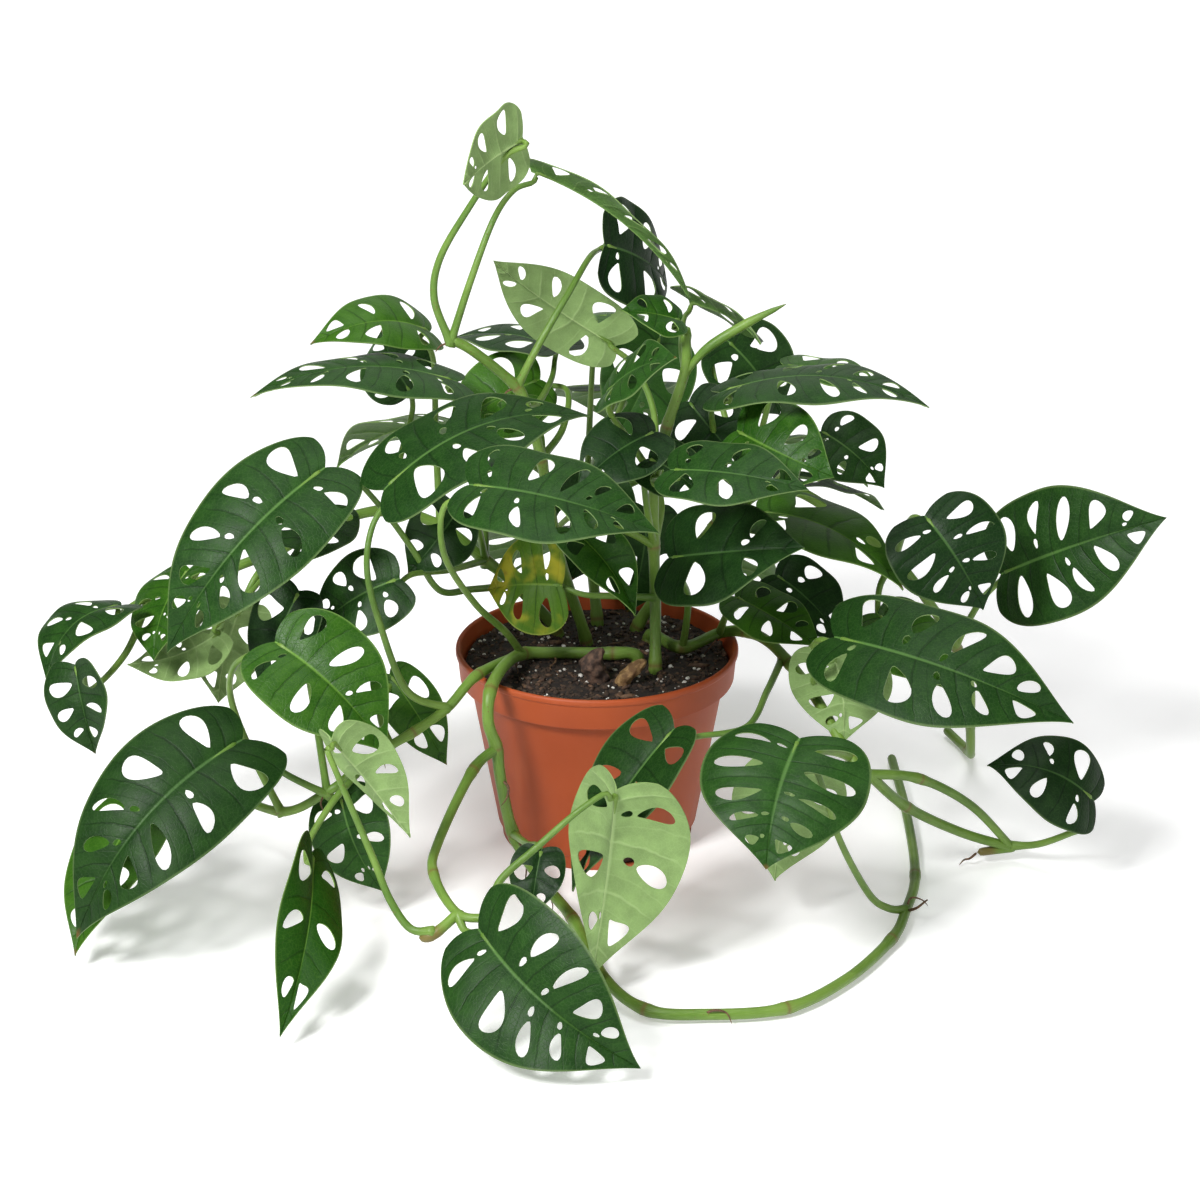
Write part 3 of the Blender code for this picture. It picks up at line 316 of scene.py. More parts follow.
FAR_RIGHT_LEAVES = (
    Leaf("leaf_right_far", (216, 10, 146), (297, -30, 194), 74, (0.1, -0.85, 0.5),
         ((196, 26, 98), (208, 22, 126)),
         slots=5, slot_width=0.40),
    Leaf("leaf_right_round", (169, -38, 198), (200, -56, 152), 66, (0.1, -0.9, 0.35),
         ((160, 16, 152), (162, 0, 172), (165, -20, 190)),
         kind=LeafKind.DEEP, arch=0.12, curl=34),
    Leaf("leaf_right_long", (62, -45, 267), (168, -62, 264), 70, (0, 0, 1),
         ((64, 28, 168), (62, 4, 220), (59, -30, 254)),
         arch=0.12, fold=6, slots=5),
    Leaf("leaf_right_bright", (70, -66, 254), (118, -98, 240), 56, (0.2, -0.85, 0.45),
         ((64, 28, 168), (96, -8, 208), (90, -46, 234)),
         kind=LeafKind.FRESH, slots=3),
    Leaf("leaf_right_back_bright", (99, 34, 256), (152, 24, 244), 50, (0, 0, 1),
         ((80, 26, 188), (88, 30, 222), (94, 34, 242)),
         kind=LeafKind.FRESH, slots=3),
    Leaf("leaf_right_small", (117, 0, 231), (150, -20, 206), 45, (0.3, -0.7, 0.5),
         ((104, 24, 190), (110, 16, 212)),
         slots=3),
    Leaf("leaf_right_arch", (84, -22, 194), (159, -54, 162), 58, (0.2, -0.2, 0.95),
         ((80, 26, 188), (80, 4, 184), (81, -14, 184)),
         kind=LeafKind.FRESH, arch=0.16, slots=2, slot_width=0.24),
    Leaf("leaf_right_edge_dark", (96, 56, 186), (160, 76, 158), 60, (0.1, 0.2, 1),
         ((104, 24, 190), (99, 42, 180)),
         kind=LeafKind.DEEP, slots=3),
    Leaf("leaf_right_lower_mid", (150, 0, 128), (186, -30, 96), 52, (0.3, -0.6, 0.7),
         ((160, 16, 152), (152, 12, 138)),
         kind=LeafKind.FRESH, slots=3),
    Leaf("leaf_mid_round", (48, 4, 246), (78, -14, 216), 44, (0.2, -0.8, 0.5),
         ((80, 26, 188), (70, 18, 220), (56, 10, 240)),
         kind=LeafKind.DEEP, slots=2, fused=True),
    Leaf("leaf_core_right", (70, 66, 260), (100, 74, 214), 52, (0.1, -0.85, 0.4),
         ((80, 26, 188), (72, 46, 212), (62, 64, 248)),
         slots=2, fused=True),
)

FAR_RIGHT_ROUTES = (
    ((22, 34, 84), (22, 34, 106), (44, 32, 140), (64, 28, 168), (80, 26, 188), (104, 24, 190),
     (132, 20, 174), (160, 16, 152), (180, 18, 126), (196, 26, 98), (206, 38, 70), (209, 50, 42),
     (212, 66, 16), (214, 92, 4.5), (204, 122, 4.5)),
)

# Leaves on the left, of a stem that leans back and to the left

FAR_LEFT_LEAVES = (
    Leaf("leaf_left_upper", (-136, -70, 236), (-216, -110, 150), 70, (-0.3, -0.8, 0.5),
         ((-44, 20, 136), (-66, -16, 148), (-82, -42, 158), (-95, -50, 184), (-110, -58, 210),
          (-127, -66, 232)),
         arch=0.14, curl=34, slots=5, slot_width=0.38),
    Leaf("leaf_left_top_bright", (-88, 36, 274), (-150, 6, 276), 44, (-0.1, -0.5, 0.85),
         ((-84, 16, 172), (-86, 30, 216), (-87, 38, 258)),
         kind=LeafKind.FRESH, arch=0.2, slots=3),
    Leaf("leaf_left_top_long", (-72, -6, 260), (-178, -34, 260), 66, (0, 0, 1),
         ((-60, 16, 152), (-60, 10, 200), (-67, 0, 248)),
         arch=0.10, fold=6, slots=5),
    Leaf("leaf_left_top_loop", (-100, 54, 234), (-116, 64, 267), 44, (-0.2, -0.8, 0.5),
         ((-112, 12, 182), (-106, 40, 202), (-100, 60, 222)),
         kind=LeafKind.DEEP, slots=3, slot_width=0.40),
    Leaf("leaf_left_slotted", (-142, -24, 198), (-158, -60, 176), 52, (-0.2, -0.7, 0.6),
         ((-140, 4, 178), (-140, -10, 188)),
         slots=3),
    Leaf("leaf_left_open", (-100, -76, 178), (-146, -74, 146), 48, (-0.2, -0.7, 0.6),
         ((-60, 16, 152), (-78, -24, 162), (-94, -60, 174)),
         slots=3, slot_width=0.40),
    Leaf("leaf_left_behind", (-212, -36, 168), (-228, -72, 130), 56, (-0.6, -0.5, 0.6),
         ((-192, -16, 160), (-204, -20, 168)),
         kind=LeafKind.FRESH),
    Leaf("leaf_far_left", (-246, -50, 153), (-281, -88, 125), 54, (-0.5, -0.3, 0.8),
         ((-236, -20, 146), (-246, -34, 144)),
         arch=0.2, slots=3),
    Leaf("leaf_far_left_low", (-264, -98, 140), (-254, -112, 96), 42, (-0.5, -0.8, 0.3),
         ((-236, -20, 146), (-246, -44, 124), (-260, -80, 118)),
         kind=LeafKind.DEEP, fold=24, slots=3),
    Leaf("leaf_left_pale", (-196, -36, 132), (-246, -48, 118), 46, (0, 0.3, -0.9),
         ((-168, -4, 166), (-182, -24, 150)),
         kind=LeafKind.PALE, slots=3, fused=True),
    Leaf("leaf_left_pale_low", (-188, -20, 140), (-200, -40, 92), 44, (-0.1, 0.9, -0.2),
         ((-168, -4, 166), (-180, -20, 156)),
         kind=LeafKind.PALE, slots=2, fused=True),
    Leaf("leaf_left_inner", (-72, -36, 200), (-98, -50, 170), 40, (-0.1, -0.8, 0.5),
         ((-60, 16, 152), (-64, -10, 184)),
         kind=LeafKind.DEEP, slots=2, fused=True),
)

FAR_LEFT_ROUTES = (
    ((-22, 26, 84), (-22, 26, 106), (-44, 20, 136), (-60, 16, 152), (-84, 16, 172), (-112, 12, 182),
     (-140, 4, 178), (-168, -4, 166), (-192, -16, 160), (-214, -14, 150), (-236, -20, 146)),
)

# Leaves of the stem at the back: the core ones fill the middle, the photograph doesn't show the others

BACK_LEAVES = (
    Leaf("leaf_back_left", (-70, 104, 196), (-150, 140, 160), 72, (-0.3, 0.6, 0.8),
         ((-24, 92, 170), (-44, 98, 182), (-62, 102, 186)),
         arch=0.12, slots=3),
    Leaf("leaf_back_centre", (10, 130, 210), (24, 214, 150), 76, (0, 0.6, 0.8),
         ((-4, 94, 168), (2, 108, 190), (8, 120, 202)),
         arch=0.14, slot_width=0.38),
    Leaf("leaf_back_right", (80, 100, 190), (156, 136, 150), 72, (0.3, 0.6, 0.8),
         ((14, 92, 166), (44, 94, 178), (70, 98, 182)),
         arch=0.12, slots=3),
    Leaf("leaf_back_low", (-30, 146, 120), (-60, 210, 60), 70, (-0.2, 0.7, 0.6),
         ((0, 112, 150), (-14, 124, 138), (-26, 136, 122)),
         kind=LeafKind.DEEP, arch=0.12, slots=3),
    Leaf("leaf_back_low_right", (62, 138, 112), (92, 196, 52), 66, (0.3, 0.7, 0.6),
         ((0, 112, 150), (24, 122, 138), (50, 130, 118)),
         arch=0.12, slots=3),
    Leaf("leaf_back_high", (0, 90, 262), (-10, 160, 232), 60, (0, 0.5, 0.85),
         ((-6, 76, 158), (-4, 80, 210), (-2, 84, 248)),
         kind=LeafKind.FRESH, arch=0.12, slots=3),
    Leaf("leaf_core_high", (34, 62, 264), (8, 50, 208), 54, (0.1, -0.9, 0.35),
         ((-6, 76, 158), (8, 74, 206), (26, 70, 250)),
         slots=2, fused=True),
    Leaf("leaf_core_low", (0, 36, 194), (-14, 30, 134), 50, (-0.1, -0.9, 0.2),
         ((-6, 76, 158), (-2, 60, 190), (3, 42, 206)),
         kind=LeafKind.DEEP, slots=1, fused=True),
)

BACK_ROUTES = (
    ((0, 44, 84), (0, 44, 106), (-4, 62, 140), (-6, 76, 158), (-4, 94, 168), (0, 112, 150)),
    ((-4, 94, 168), (14, 92, 166)),
    ((-4, 94, 168), (-24, 92, 170)),
)

VINES = (
    Vine("vine_front", FRONT_ROUTES, FRONT_LEAVES),
    Vine("vine_right", RIGHT_ROUTES, RIGHT_LEAVES),
    Vine("vine_top", TOP_ROUTES, TOP_LEAVES),
    Vine("vine_upright", UPRIGHT_ROUTES, UPRIGHT_LEAVES, spear=True),
    Vine("vine_far_right", FAR_RIGHT_ROUTES, FAR_RIGHT_LEAVES),
    Vine("vine_far_left", FAR_LEFT_ROUTES, FAR_LEFT_LEAVES),
    Vine("vine_back", BACK_ROUTES, BACK_LEAVES),
)

# Aerial roots at the nodes of the vines: the radius at the node, then the places along each

AERIAL_ROOTS = (
    (0.8, (160, -108, 5), (165, -114, 10), (170, -110, 12), (172, -103, 9)),
    (0.6, (160, -108, 5), (163, -103, 10), (169, -101, 8), (173, -99, 3)),
    (0.8, (-50, -78, 67), (-46, -83, 64), (-47, -86, 59), (-50, -87, 55)),
    (0.8, (-44, -72, 32), (-39, -79, 27), (-37, -83, 18), (-38, -86, 8)),
    (0.7, (-30, -92, 16), (-33, -97, 13), (-37, -98, 7), (-38, -101, 1)),
    (0.6, (-30, -92, 16), (-26, -98, 12), (-23, -103, 6), (-24, -106, 1)),
    (0.7, (52, -216, 5), (57, -219, 9), (63, -218, 7), (66, -221, 2)),
    (0.6, (-40, -14, 110), (-43, -20, 107), (-42, -24, 104), (-44, -27, 101)),
    (0.6, (-24, -10, 109), (-22, -14, 106), (-25, -18, 104), (-23, -21, 102)),
    (0.6, (66, 10, 112), (63, 4, 109), (59, 2, 105), (57, 0, 102)),
    (0.7, (204, -44, 7), (200, -47, 5), (197, -45, 3), (194, -48, 1)),
    (0.7, (-41, -25, 263), (-46, -29, 262), (-49, -30, 257)),
    (0.6, (-74, -35, 290), (-79, -37, 289), (-82, -36, 285)),
    (0.6, (-106, -95, 93), (-109, -99, 89), (-108, -101, 83)),
    (0.6, (-138, -105, 72), (-141, -109, 68), (-139, -112, 63)),
)


def between(first: float, second: float, share: float) -> float:
    """Return the value part of the way from first to second."""
    return first + (second - first) * share


def clamp(value: float, low: float = 0.0, high: float = 1.0) -> float:
    """Return value held between low and high."""
    return max(low, min(high, value))


def soft_step(low: float, high: float, value: float) -> float:
    """Return a smooth rise from 0 at low to 1 at high."""
    share = clamp((value - low) / (high - low))
    return share * share * (3.0 - 2.0 * share)


def bell(distance: float, width: float) -> float:
    """Return a smooth hump that is 1 at no distance and fades over the width."""
    return math.exp(-((distance / width) ** 2))


def rounded(gap: float, reach: float) -> float:
    """Return the share of its radius that a stem has a gap away from its round end."""
    return math.sqrt(clamp(1.0 - (1.0 - clamp(gap / reach)) ** 2))


def table_value(values: tuple, share: float) -> float:
    """Read a table between its entries.

    Args:
        values: The values at even steps.
        share: The share of the way through them.

    Returns:
        The value at that share.
    """
    spot = share * (len(values) - 1)
    index = min(int(spot), len(values) - 2)
    return between(values[index], values[index + 1], spot - index)


def catmull(points: list | tuple, steps: int) -> list[Vector]:
    """Lay a smooth route through points.

    Args:
        points: The places that the route passes, in millimetres.
        steps: How many pieces each span is cut into.

    Returns:
        The places along the route, its two ends included.
    """
    spots = [Vector(point) for point in points]
    ends = [spots[0] * 2 - spots[1]] + spots + [spots[-1] * 2 - spots[-2]]
    route = []
    for index in range(1, len(ends) - 2):
        before, start, stop, after = ends[index - 1:index + 3]
        for step in range(steps):
            t = step / steps
            pull = (stop - before) * t + (before * 2 - start * 5 + stop * 4 - after) * t ** 2
            pull += (start * 3 - before - stop * 3 + after) * t ** 3
            route.append(start + pull * 0.5)
    route.append(spots[-1])
    return route


def evenly(route: list[Vector], spacing: float) -> list[Vector]:
    """Lay a route's places again at an even spacing.

    Args:
        route: The places along the route.
        spacing: The wanted distance between two of them.

    Returns:
        Evenly spaced places from the route's start to its end.
    """
    gone = [0.0]
    for first, second in zip(route, route[1:]):
        gone.append(gone[-1] + (second - first).length)
    count = max(4, round(gone[-1] / spacing))
    places = []
    span = 0
    for index in range(count + 1):
        wanted = gone[-1] * index / count
        while span < len(route) - 2 and gone[span + 1] < wanted:
            span += 1
        share = (wanted - gone[span]) / max(gone[span + 1] - gone[span], 1e-6)
        places.append(route[span].lerp(route[span + 1], clamp(share)))
    return places


def rooted(points: tuple) -> list[Vector]:
    """Return a stem's points with its start run back into what it grows from."""
    spots = [Vector(point) for point in points]
    return [spots[0] - (spots[1] - spots[0]).normalized() * ROOT_DEPTH] + spots


def mesh_of(work: bmesh.types.BMesh, name: str) -> bpy.types.Mesh:
    """Turn a finished bmesh into a mesh of the given name and free it.

    Args:
        work: The finished bmesh.
        name: The mesh's name.

    Returns:
        The new mesh.
    """
    mesh = bpy.data.meshes.new(name)
    work.to_mesh(mesh)
    work.free()
    return mesh


def add_object(name: str, data: bpy.types.ID) -> bpy.types.Object:
    """Put a new object that holds the data into the scene.

    Args:
        name: The object's name.
        data: A mesh, a light or a camera.

    Returns:
        The new object.
    """
    thing = bpy.data.objects.new(name, data)
    bpy.context.scene.collection.objects.link(thing)
    return thing


def settle(thing: bpy.types.Object) -> None:
    """Make an object's modifiers part of its mesh.

    Args:
        thing: The object, whose vertex groups go too.
    """
    graph = bpy.context.evaluated_depsgraph_get()
    graph.update()
    thing.data = bpy.data.meshes.new_from_object(thing.evaluated_get(graph))
    thing.modifiers.clear()
    thing.vertex_groups.clear()


class Surface:
    """A mesh that is built from grids laid over formulas."""

    def __init__(self) -> None:
        """Start an empty mesh with its UV maps and its two shade attributes."""
        self.work = bmesh.new()
        self.skin = self.work.loops.layers.uv.new("skin")
        self.flat = self.work.loops.layers.uv.new("flat")
        self.age = self.work.verts.layers.float.new("age")
        self.tone = self.work.verts.layers.float.new("tone")

    def sheet(self, columns: int, rows: int) -> list:
        """Add a flat grid whose x and y run from 0 to 1.

        Args:
            columns: Steps along x.
            rows: Steps along y.

        Returns:
            The grid's vertices.
        """
        made = bmesh.ops.create_grid(self.work, x_segments=columns, y_segments=rows, size=0.5)
        for vert in made["verts"]:
            vert.co.x += 0.5
            vert.co.y += 0.5
        return made["verts"]

    def faces_of(self, verts: list) -> set:
        """Return the faces that the vertices carry."""
        return {face for vert in verts for face in vert.link_faces}

    def wrap(self, columns: int, rows: int, place: Place, scale: tuple, tone: float,
             age: Along | None = None) -> None:
        """Add a grid that closes on itself along its second direction.

        Args:
            columns: Steps along the first direction.
            rows: Steps round the second direction.
            place: Gives the place in millimetres for shares from 0 to 1.
            scale: Size of the whole grid in its own UV map, in centimetres.
            tone: The tone attribute, the same all over.
            age: Gives the age attribute for the share along the first direction.
        """
        verts = self.sheet(columns, rows)
        for face in self.faces_of(verts):
            for loop in face.loops:
                share = loop.vert.co
                loop[self.skin].uv = (share.x * scale[0], share.y * scale[1])
        for vert in verts:
            first, second = vert.co.x, vert.co.y
            vert[self.age] = age(first) if age else 0.0
            vert[self.tone] = tone
            vert.co = place(first, second) * MM
        bmesh.ops.remove_doubles(self.work, verts=verts, dist=SKIN_WELD)

    def tube(self, route: list[Vector], radius: Along, sides: int, tone: float,
             age: Along | None = None) -> None:
        """Add a round stem along a route.

        Args:
            route: Evenly spaced places along it, in millimetres.
            radius: Gives the radius for the share of the way along.
            sides: How many sides the stem has round it.
            tone: Shade of the stem, 0 for a vine and 1 for a young stalk.
            age: Gives how brown the skin is for the share of the way along.
        """
        spans = [second - first for first, second in zip(route, route[1:])]
        headings = [span.normalized() for span in spans + spans[-1:]]
        side = headings[0].orthogonal().normalized()
        frames = []
        for heading in headings:
            side = (side - heading * side.dot(heading)).normalized()
            frames.append((side, heading.cross(side)))
        last = len(route) - 1

        def place(first: float, second: float) -> Vector:
            """Return the skin's place for shares along and round the stem."""
            index = round(first * last)
            turn = second * math.tau
            across, up = frames[index]
            return route[index] + (across * math.cos(turn) + up * math.sin(turn)) * radius(first)

        length = sum(span.length for span in spans)
        self.wrap(last, sides, place, (length * 0.1, 1.0), tone, age)

    def finish(self, name: str, outwards: bool = True) -> bpy.types.Object:
        """Turn the mesh into an object that rides on the part.

        Args:
            name: The piece's name.
            outwards: Whether the normals are worked out again.

        Returns:
            The new object, at the origin.
        """
        if outwards:
            bmesh.ops.recalc_face_normals(self.work, faces=self.work.faces)
        mesh = mesh_of(self.work, name)
        mesh.shade_smooth()
        thing = add_object(name, mesh)
        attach(thing, "root")
        LOG.info("piece %s", name)
        return thing


# Half the outline of a blade of length 1 and half width 1, in two Bezier curves

LOBE_CURVE = ((0.0, 0.0), (-0.13, 0.25), (-0.12, 1.0), (0.33, 1.0))
TIP_CURVE = ((0.33, 1.0), (0.68, 1.0), (0.84, 0.26), (1.0, 0.0))
LOBE_START = 0.225

# How the grid of a half blade crowds towards the tip at the midrib and towards the base at the margin

MIDRIB_CROWD = 1.15
MARGIN_CROWD = 0.9

# What of that outline the fine blade covers, so that it stays inside the CAD's box

BLADE_START = 0.005
BLADE_END = 0.988
BLADE_BREADTH = 0.965


def bezier(points: tuple, t: float) -> Vector:
    """Walk a Bezier curve of any degree in the plane.

    Args:
        points: The curve's control points.
        t: The place on the curve, from 0 to 1.

    Returns:
        The point there.
    """
    spots = [Vector(point) for point in points]
    while len(spots) > 1:
        spots = [first.lerp(second, t) for first, second in zip(spots, spots[1:])]
    return spots[0]


def margin_point(s: float) -> Vector:
    """Return the outline point at s, from 0 at the base to 1 at the tip."""
    return bezier(LOBE_CURVE, s * 2) if s < 0.5 else bezier(TIP_CURVE, s * 2 - 1)


def blade_point(p: float, q: float) -> Vector:
    """Place a point of a half blade's grid on the flat blade.

    Args:
        p: The share of the way from base to tip.
        q: The share of the way from the midrib to the margin.

    Returns:
        The place in shares of the blade's length and half width.
    """
    start = Vector((p ** MIDRIB_CROWD, 0.0))
    end = margin_point(between(LOBE_START, 1.0, p ** MARGIN_CROWD))
    bow = Vector((-0.04, -0.04)) if p < 0.02 else Vector((-0.06, 0.04)) * (1.0 - p)
    spot = bezier((start, (start + end) / 2 + bow, end), q)
    return Vector((between(BLADE_START, BLADE_END, spot.x), spot.y * BLADE_BREADTH))


@dataclass(frozen=True)
class Slot:
    """One opening between two veins, in shares along the midrib and the vein."""

    centre: float
    wide: float
    inner: float
    outer: float
    lean: float = 0.0
    flare: float = 0.2

    def reach(self, along: float) -> tuple[float, float]:
        """Measure the slot across.

        Args:
            along: The place along it, from -1 at its inner end to 1.

        Returns:
            Its middle line and its half width there.
        """
        held = clamp(along, -1.0, 1.0)
        middle = self.centre + self.lean * self.wide * (1.0 - held * held)
        return middle, self.wide * (0.78 + self.flare * held - 0.06 * held * held)

    def inside(self, p: float, q: float) -> tuple[float, float]:
        """Find a place in the slot's own unit circle.

        Args:
            p: The share of the way from base to tip.
            q: The share of the way from the midrib to the margin.

        Returns:
            The place across the slot and along it.
        """
        along = (q - self.inner) / (self.outer - self.inner) * 2.0 - 1.0
        middle, half = self.reach(along)
        return (p - middle) / half, along

    def outside(self, across: float, along: float) -> tuple[float, float]:
        """Return (p, q) for a place in the slot's own unit circle."""
        middle, half = self.reach(along)
        return middle + across * half, self.inner + (along + 1.0) / 2.0 * (self.outer - self.inner)


class BladeForm:
    """The bent form of one blade, shared by its mesh and its stalk.

    Each blade differs a little: TWIST_SPREAD is in degrees, BOW_SPREAD is a
    share of the length, and WAVES sets how many ripples the margin has.
    """

    TWIST_SPREAD = 12.0
    BOW_SPREAD = 0.20
    WAVES = 11.0

    def __init__(self, leaf: Leaf) -> None:
        """Work out the blade's own axes from its two ends and its face.

        Args:
            leaf: The blade's place and form.
        """
        self.leaf = leaf
        self.base = Vector(leaf.base)
        self.along = Vector(leaf.tip) - self.base
        self.length = self.along.length
        self.along.normalize()
        face = Vector(leaf.face)
        self.face = (face - self.along * face.dot(self.along)).normalized()
        self.across = self.face.cross(self.along)
        self.half = leaf.width / 2
        self.spacing = SLOT_SPAN / leaf.slots

    def bend(self, x: float, y: float, lift: float = 0.0) -> Vector:
        """Bend a point of the flat blade to its place.

        Args:
            x: Share of the length from the base.
            y: Share of the half width, negative on the second half.
            lift: Height above the blade's middle, in millimetres.

        Returns:
            The place in millimetres.
        """
        leaf = self.leaf
        fold = math.radians(leaf.fold)
        curl = math.radians(leaf.curl)
        side = 1.0 if y >= 0 else -1.0
        reach = abs(y)
        out = self.half / curl * (math.sin(fold) - math.sin(fold - curl * reach))
        rise = self.half / curl * (math.cos(fold - curl * reach) - math.cos(fold))
        rise += leaf.ripple * self.half * reach ** 2 * math.sin(self.WAVES * x + side)
        rise += lift
        twist = leaf.twist + self.TWIST_SPREAD * math.sin(leaf.width * 1.7 + leaf.base[2])
        turn = math.radians(twist) * (x - 0.5)
        sideways = side * out * math.cos(turn) - rise * math.sin(turn)
        upwards = side * out * math.sin(turn) + rise * math.cos(turn)
        sideways += self.BOW_SPREAD * x * (1.0 - x) * self.length * math.sin(leaf.width * 2.3 + leaf.base[0])
        upwards += 4.0 * x * (1.0 - x) * leaf.arch * self.length
        spot = self.base + self.along * (x * self.length)
        return spot + self.across * sideways + self.face * upwards

    def seat(self, depth: float) -> tuple[Vector, Vector]:
        """Find where the stalk meets the blade.

        Args:
            depth: How far under the blade's middle the place is, in millimetres.

        Returns:
            The place and the way up from it.
        """
        spot = self.bend(SEAT_ALONG, 0.0)
        ahead = self.bend(SEAT_ALONG + 0.02, 0.0) - spot
        face = Vector(self.leaf.face)
        normal = (face - ahead * (face.dot(ahead) / ahead.length_squared)).normalized()
        return spot - normal * depth, normal

    def slots(self, side: int) -> list[Slot]:
        """List the slots of one half, as in the CAD, with small ones near the midrib.

        Args:
            side: 1 or -1, the side of the midrib.

        Returns:
            The half's slots from the base on.
        """
        leaf = self.leaf
        slots = []
        for index in range(leaf.slots):
            offset = 0.12 * math.sin(5.0 * index + 3.0 * side + leaf.width)
            centre = SLOT_START + self.spacing * (index + 0.5 + offset)
            inner = 0.20 + 0.06 * math.sin(index * 2.0 + side)
            outer = 0.83 + 0.03 * math.cos(index * 3.0 + leaf.width)
            chance = 0.5 + 0.5 * math.sin(index * 4.3 + side * 2.1 + leaf.width * 1.9 + leaf.base[0])
            wide = self.spacing * leaf.slot_width * between(0.46, 0.84, chance)
            flare = between(0.08, 0.36, 0.5 + 0.5 * math.sin(index * 2.9 + leaf.width))
            if leaf.width > 44.0 and chance < 0.45:
                small = self.spacing * between(0.09, 0.14, chance)
                slots.append(Slot(centre - self.spacing * 0.06, small, inner - 0.08, inner + 0.08))
                inner += 0.13
            slots.append(Slot(centre, wide, inner, outer, between(-0.35, 0.5, chance), flare))
        return slots


@dataclass
class Blade:
    """A fine leaf blade: quilted sheet with open slots, veins and a thin edge."""

    form: BladeForm
    columns: int = 92
    rows: int = 22
    quilt: float = 0.75
    vein_dip: float = 0.35
    rib_depth: float = 1.7
    lamina: float = 0.5
    edge_angle: float = 60.0
    ribs: dict = field(default_factory=dict)

    def half(self, surface: Surface, side: int) -> None:
        """Add one half of the blade to the surface.

        Args:
            surface: The mesh that takes it.
            side: 1 or -1, the side of the midrib.
        """
        form = self.form
        verts = surface.sheet(self.columns, self.rows)
        for slot in form.slots(side):
            self.open_slot(surface, verts, slot)
            verts = [vert for vert in verts if vert.is_valid]
        seed = Vector((form.leaf.width * 1.7, form.leaf.base[0], form.leaf.base[2])) * 0.37
        tone = noise.noise(seed)
        places = {}
        for vert in verts:
            p, q = clamp(vert.co.x), clamp(vert.co.y)
            places[vert] = (p, q, (p - SLOT_START) / form.spacing, blade_point(p, q))
        for face in surface.faces_of(verts):
            for loop in face.loops:
                p, q, number, spot = places[loop.vert]
                loop[surface.skin].uv = (number, q)
                loop[surface.flat].uv = (spot.x * form.length * 0.1, spot.y * side * form.half * 0.1)
        for vert, (p, q, number, spot) in places.items():
            vert[surface.tone] = tone
            vert[surface.age] = p
            vert.co = form.bend(spot.x, spot.y * side, self.relief(p, q, number)) * MM
            self.ribs[vert] = self.rib(p, q, number)

    def open_slot(self, surface: Surface, verts: list, slot: Slot) -> None:
        """Take the faces inside a slot out and lay its rim on a smooth line.

        Args:
            surface: The mesh of the blade.
            verts: The flat half's vertices.
            slot: The opening.
        """
        doomed = set()
        for face in surface.faces_of(verts):
            middle = face.calc_center_median()
            if math.hypot(*slot.inside(middle.x, middle.y)) < 1.0:
                doomed.add(face)
        rim = {vert for face in doomed for vert in face.verts}
        bmesh.ops.delete(surface.work, geom=list(doomed), context="FACES")
        for vert in rim:
            if vert.is_valid:
                across, along = slot.inside(vert.co.x, vert.co.y)
                size = math.hypot(across, along)
                vert.co.x, vert.co.y = slot.outside(across / size, along / size)

    def relief(self, p: float, q: float, number: float) -> float:
        """Raise the blade between its veins.

        Args:
            p: The share of the way from base to tip.
            q: The share of the way from the midrib to the margin.
            number: The place counted in side veins; a whole number is on one.

        Returns:
            How far the blade is raised there, in millimetres.
        """
        off = abs(number - round(number)) * 2.0
        fade = soft_step(0.0, 0.25, q) * (1.0 - soft_step(0.75, 1.0, q)) * (1.0 - soft_step(0.85, 1.0, p))
        puff = self.quilt * (math.sin(math.pi * off / 2) ** 0.45 - 0.85) * fade
        return puff - self.vein_dip * bell(q * self.form.half, 1.6)

    def rib(self, p: float, q: float, number: float) -> float:
        """Thicken the blade along its midrib and its side veins.

        Args:
            p: The share of the way from base to tip.
            q: The share of the way from the midrib to the margin.
            number: The place counted in side veins; a whole number is on one.

        Returns:
            The share of the full rib depth that the blade has there.
        """
        thin = self.lamina / self.rib_depth
        off = abs(number - round(number)) * self.form.spacing * self.form.length
        lateral = 0.35 * bell(off, 1.4) * (1.0 - soft_step(0.6, 1.0, q))
        middle = (1.0 - 0.75 * p) * bell(q * self.form.half, 1.2)
        return clamp(thin + max(lateral, middle) * (1.0 - thin))

    def build(self, finish: LeafFinish) -> bpy.types.Object:
        """Build the blade as a closed piece with its finish.

        Args:
            finish: The materials of its upper side, underside and edge.

        Returns:
            The blade's object.
        """
        surface = Surface()
        for side in (1, -1):
            self.half(surface, side)
        work = surface.work
        bmesh.ops.remove_doubles(work, verts=work.verts, dist=BLADE_WELD)
        bmesh.ops.recalc_face_normals(work, faces=work.faces)
        looks = sum((face.normal * face.calc_area() for face in work.faces), Vector())
        if looks.dot(self.form.face) < 0.0:
            bmesh.ops.reverse_faces(work, faces=work.faces)
        work.verts.index_update()
        weights = {vert.index: self.ribs[vert] for vert in work.verts}
        blade = surface.finish(self.form.leaf.name + "_blade", outwards=False)
        group = blade.vertex_groups.new(name="ribs")
        for index, weight in weights.items():
            group.add([index], weight, "REPLACE")
        solid = blade.modifiers.new("thickness", "SOLIDIFY")
        solid.thickness = self.rib_depth * MM
        solid.offset = -1.0
        solid.vertex_group = "ribs"
        solid.material_offset = 1
        solid.material_offset_rim = 2
        for material in finish.materials():
            blade.data.materials.append(material)
        settle(blade)
        blade.data.set_sharp_from_angle(angle=math.radians(self.edge_angle))
        return blade


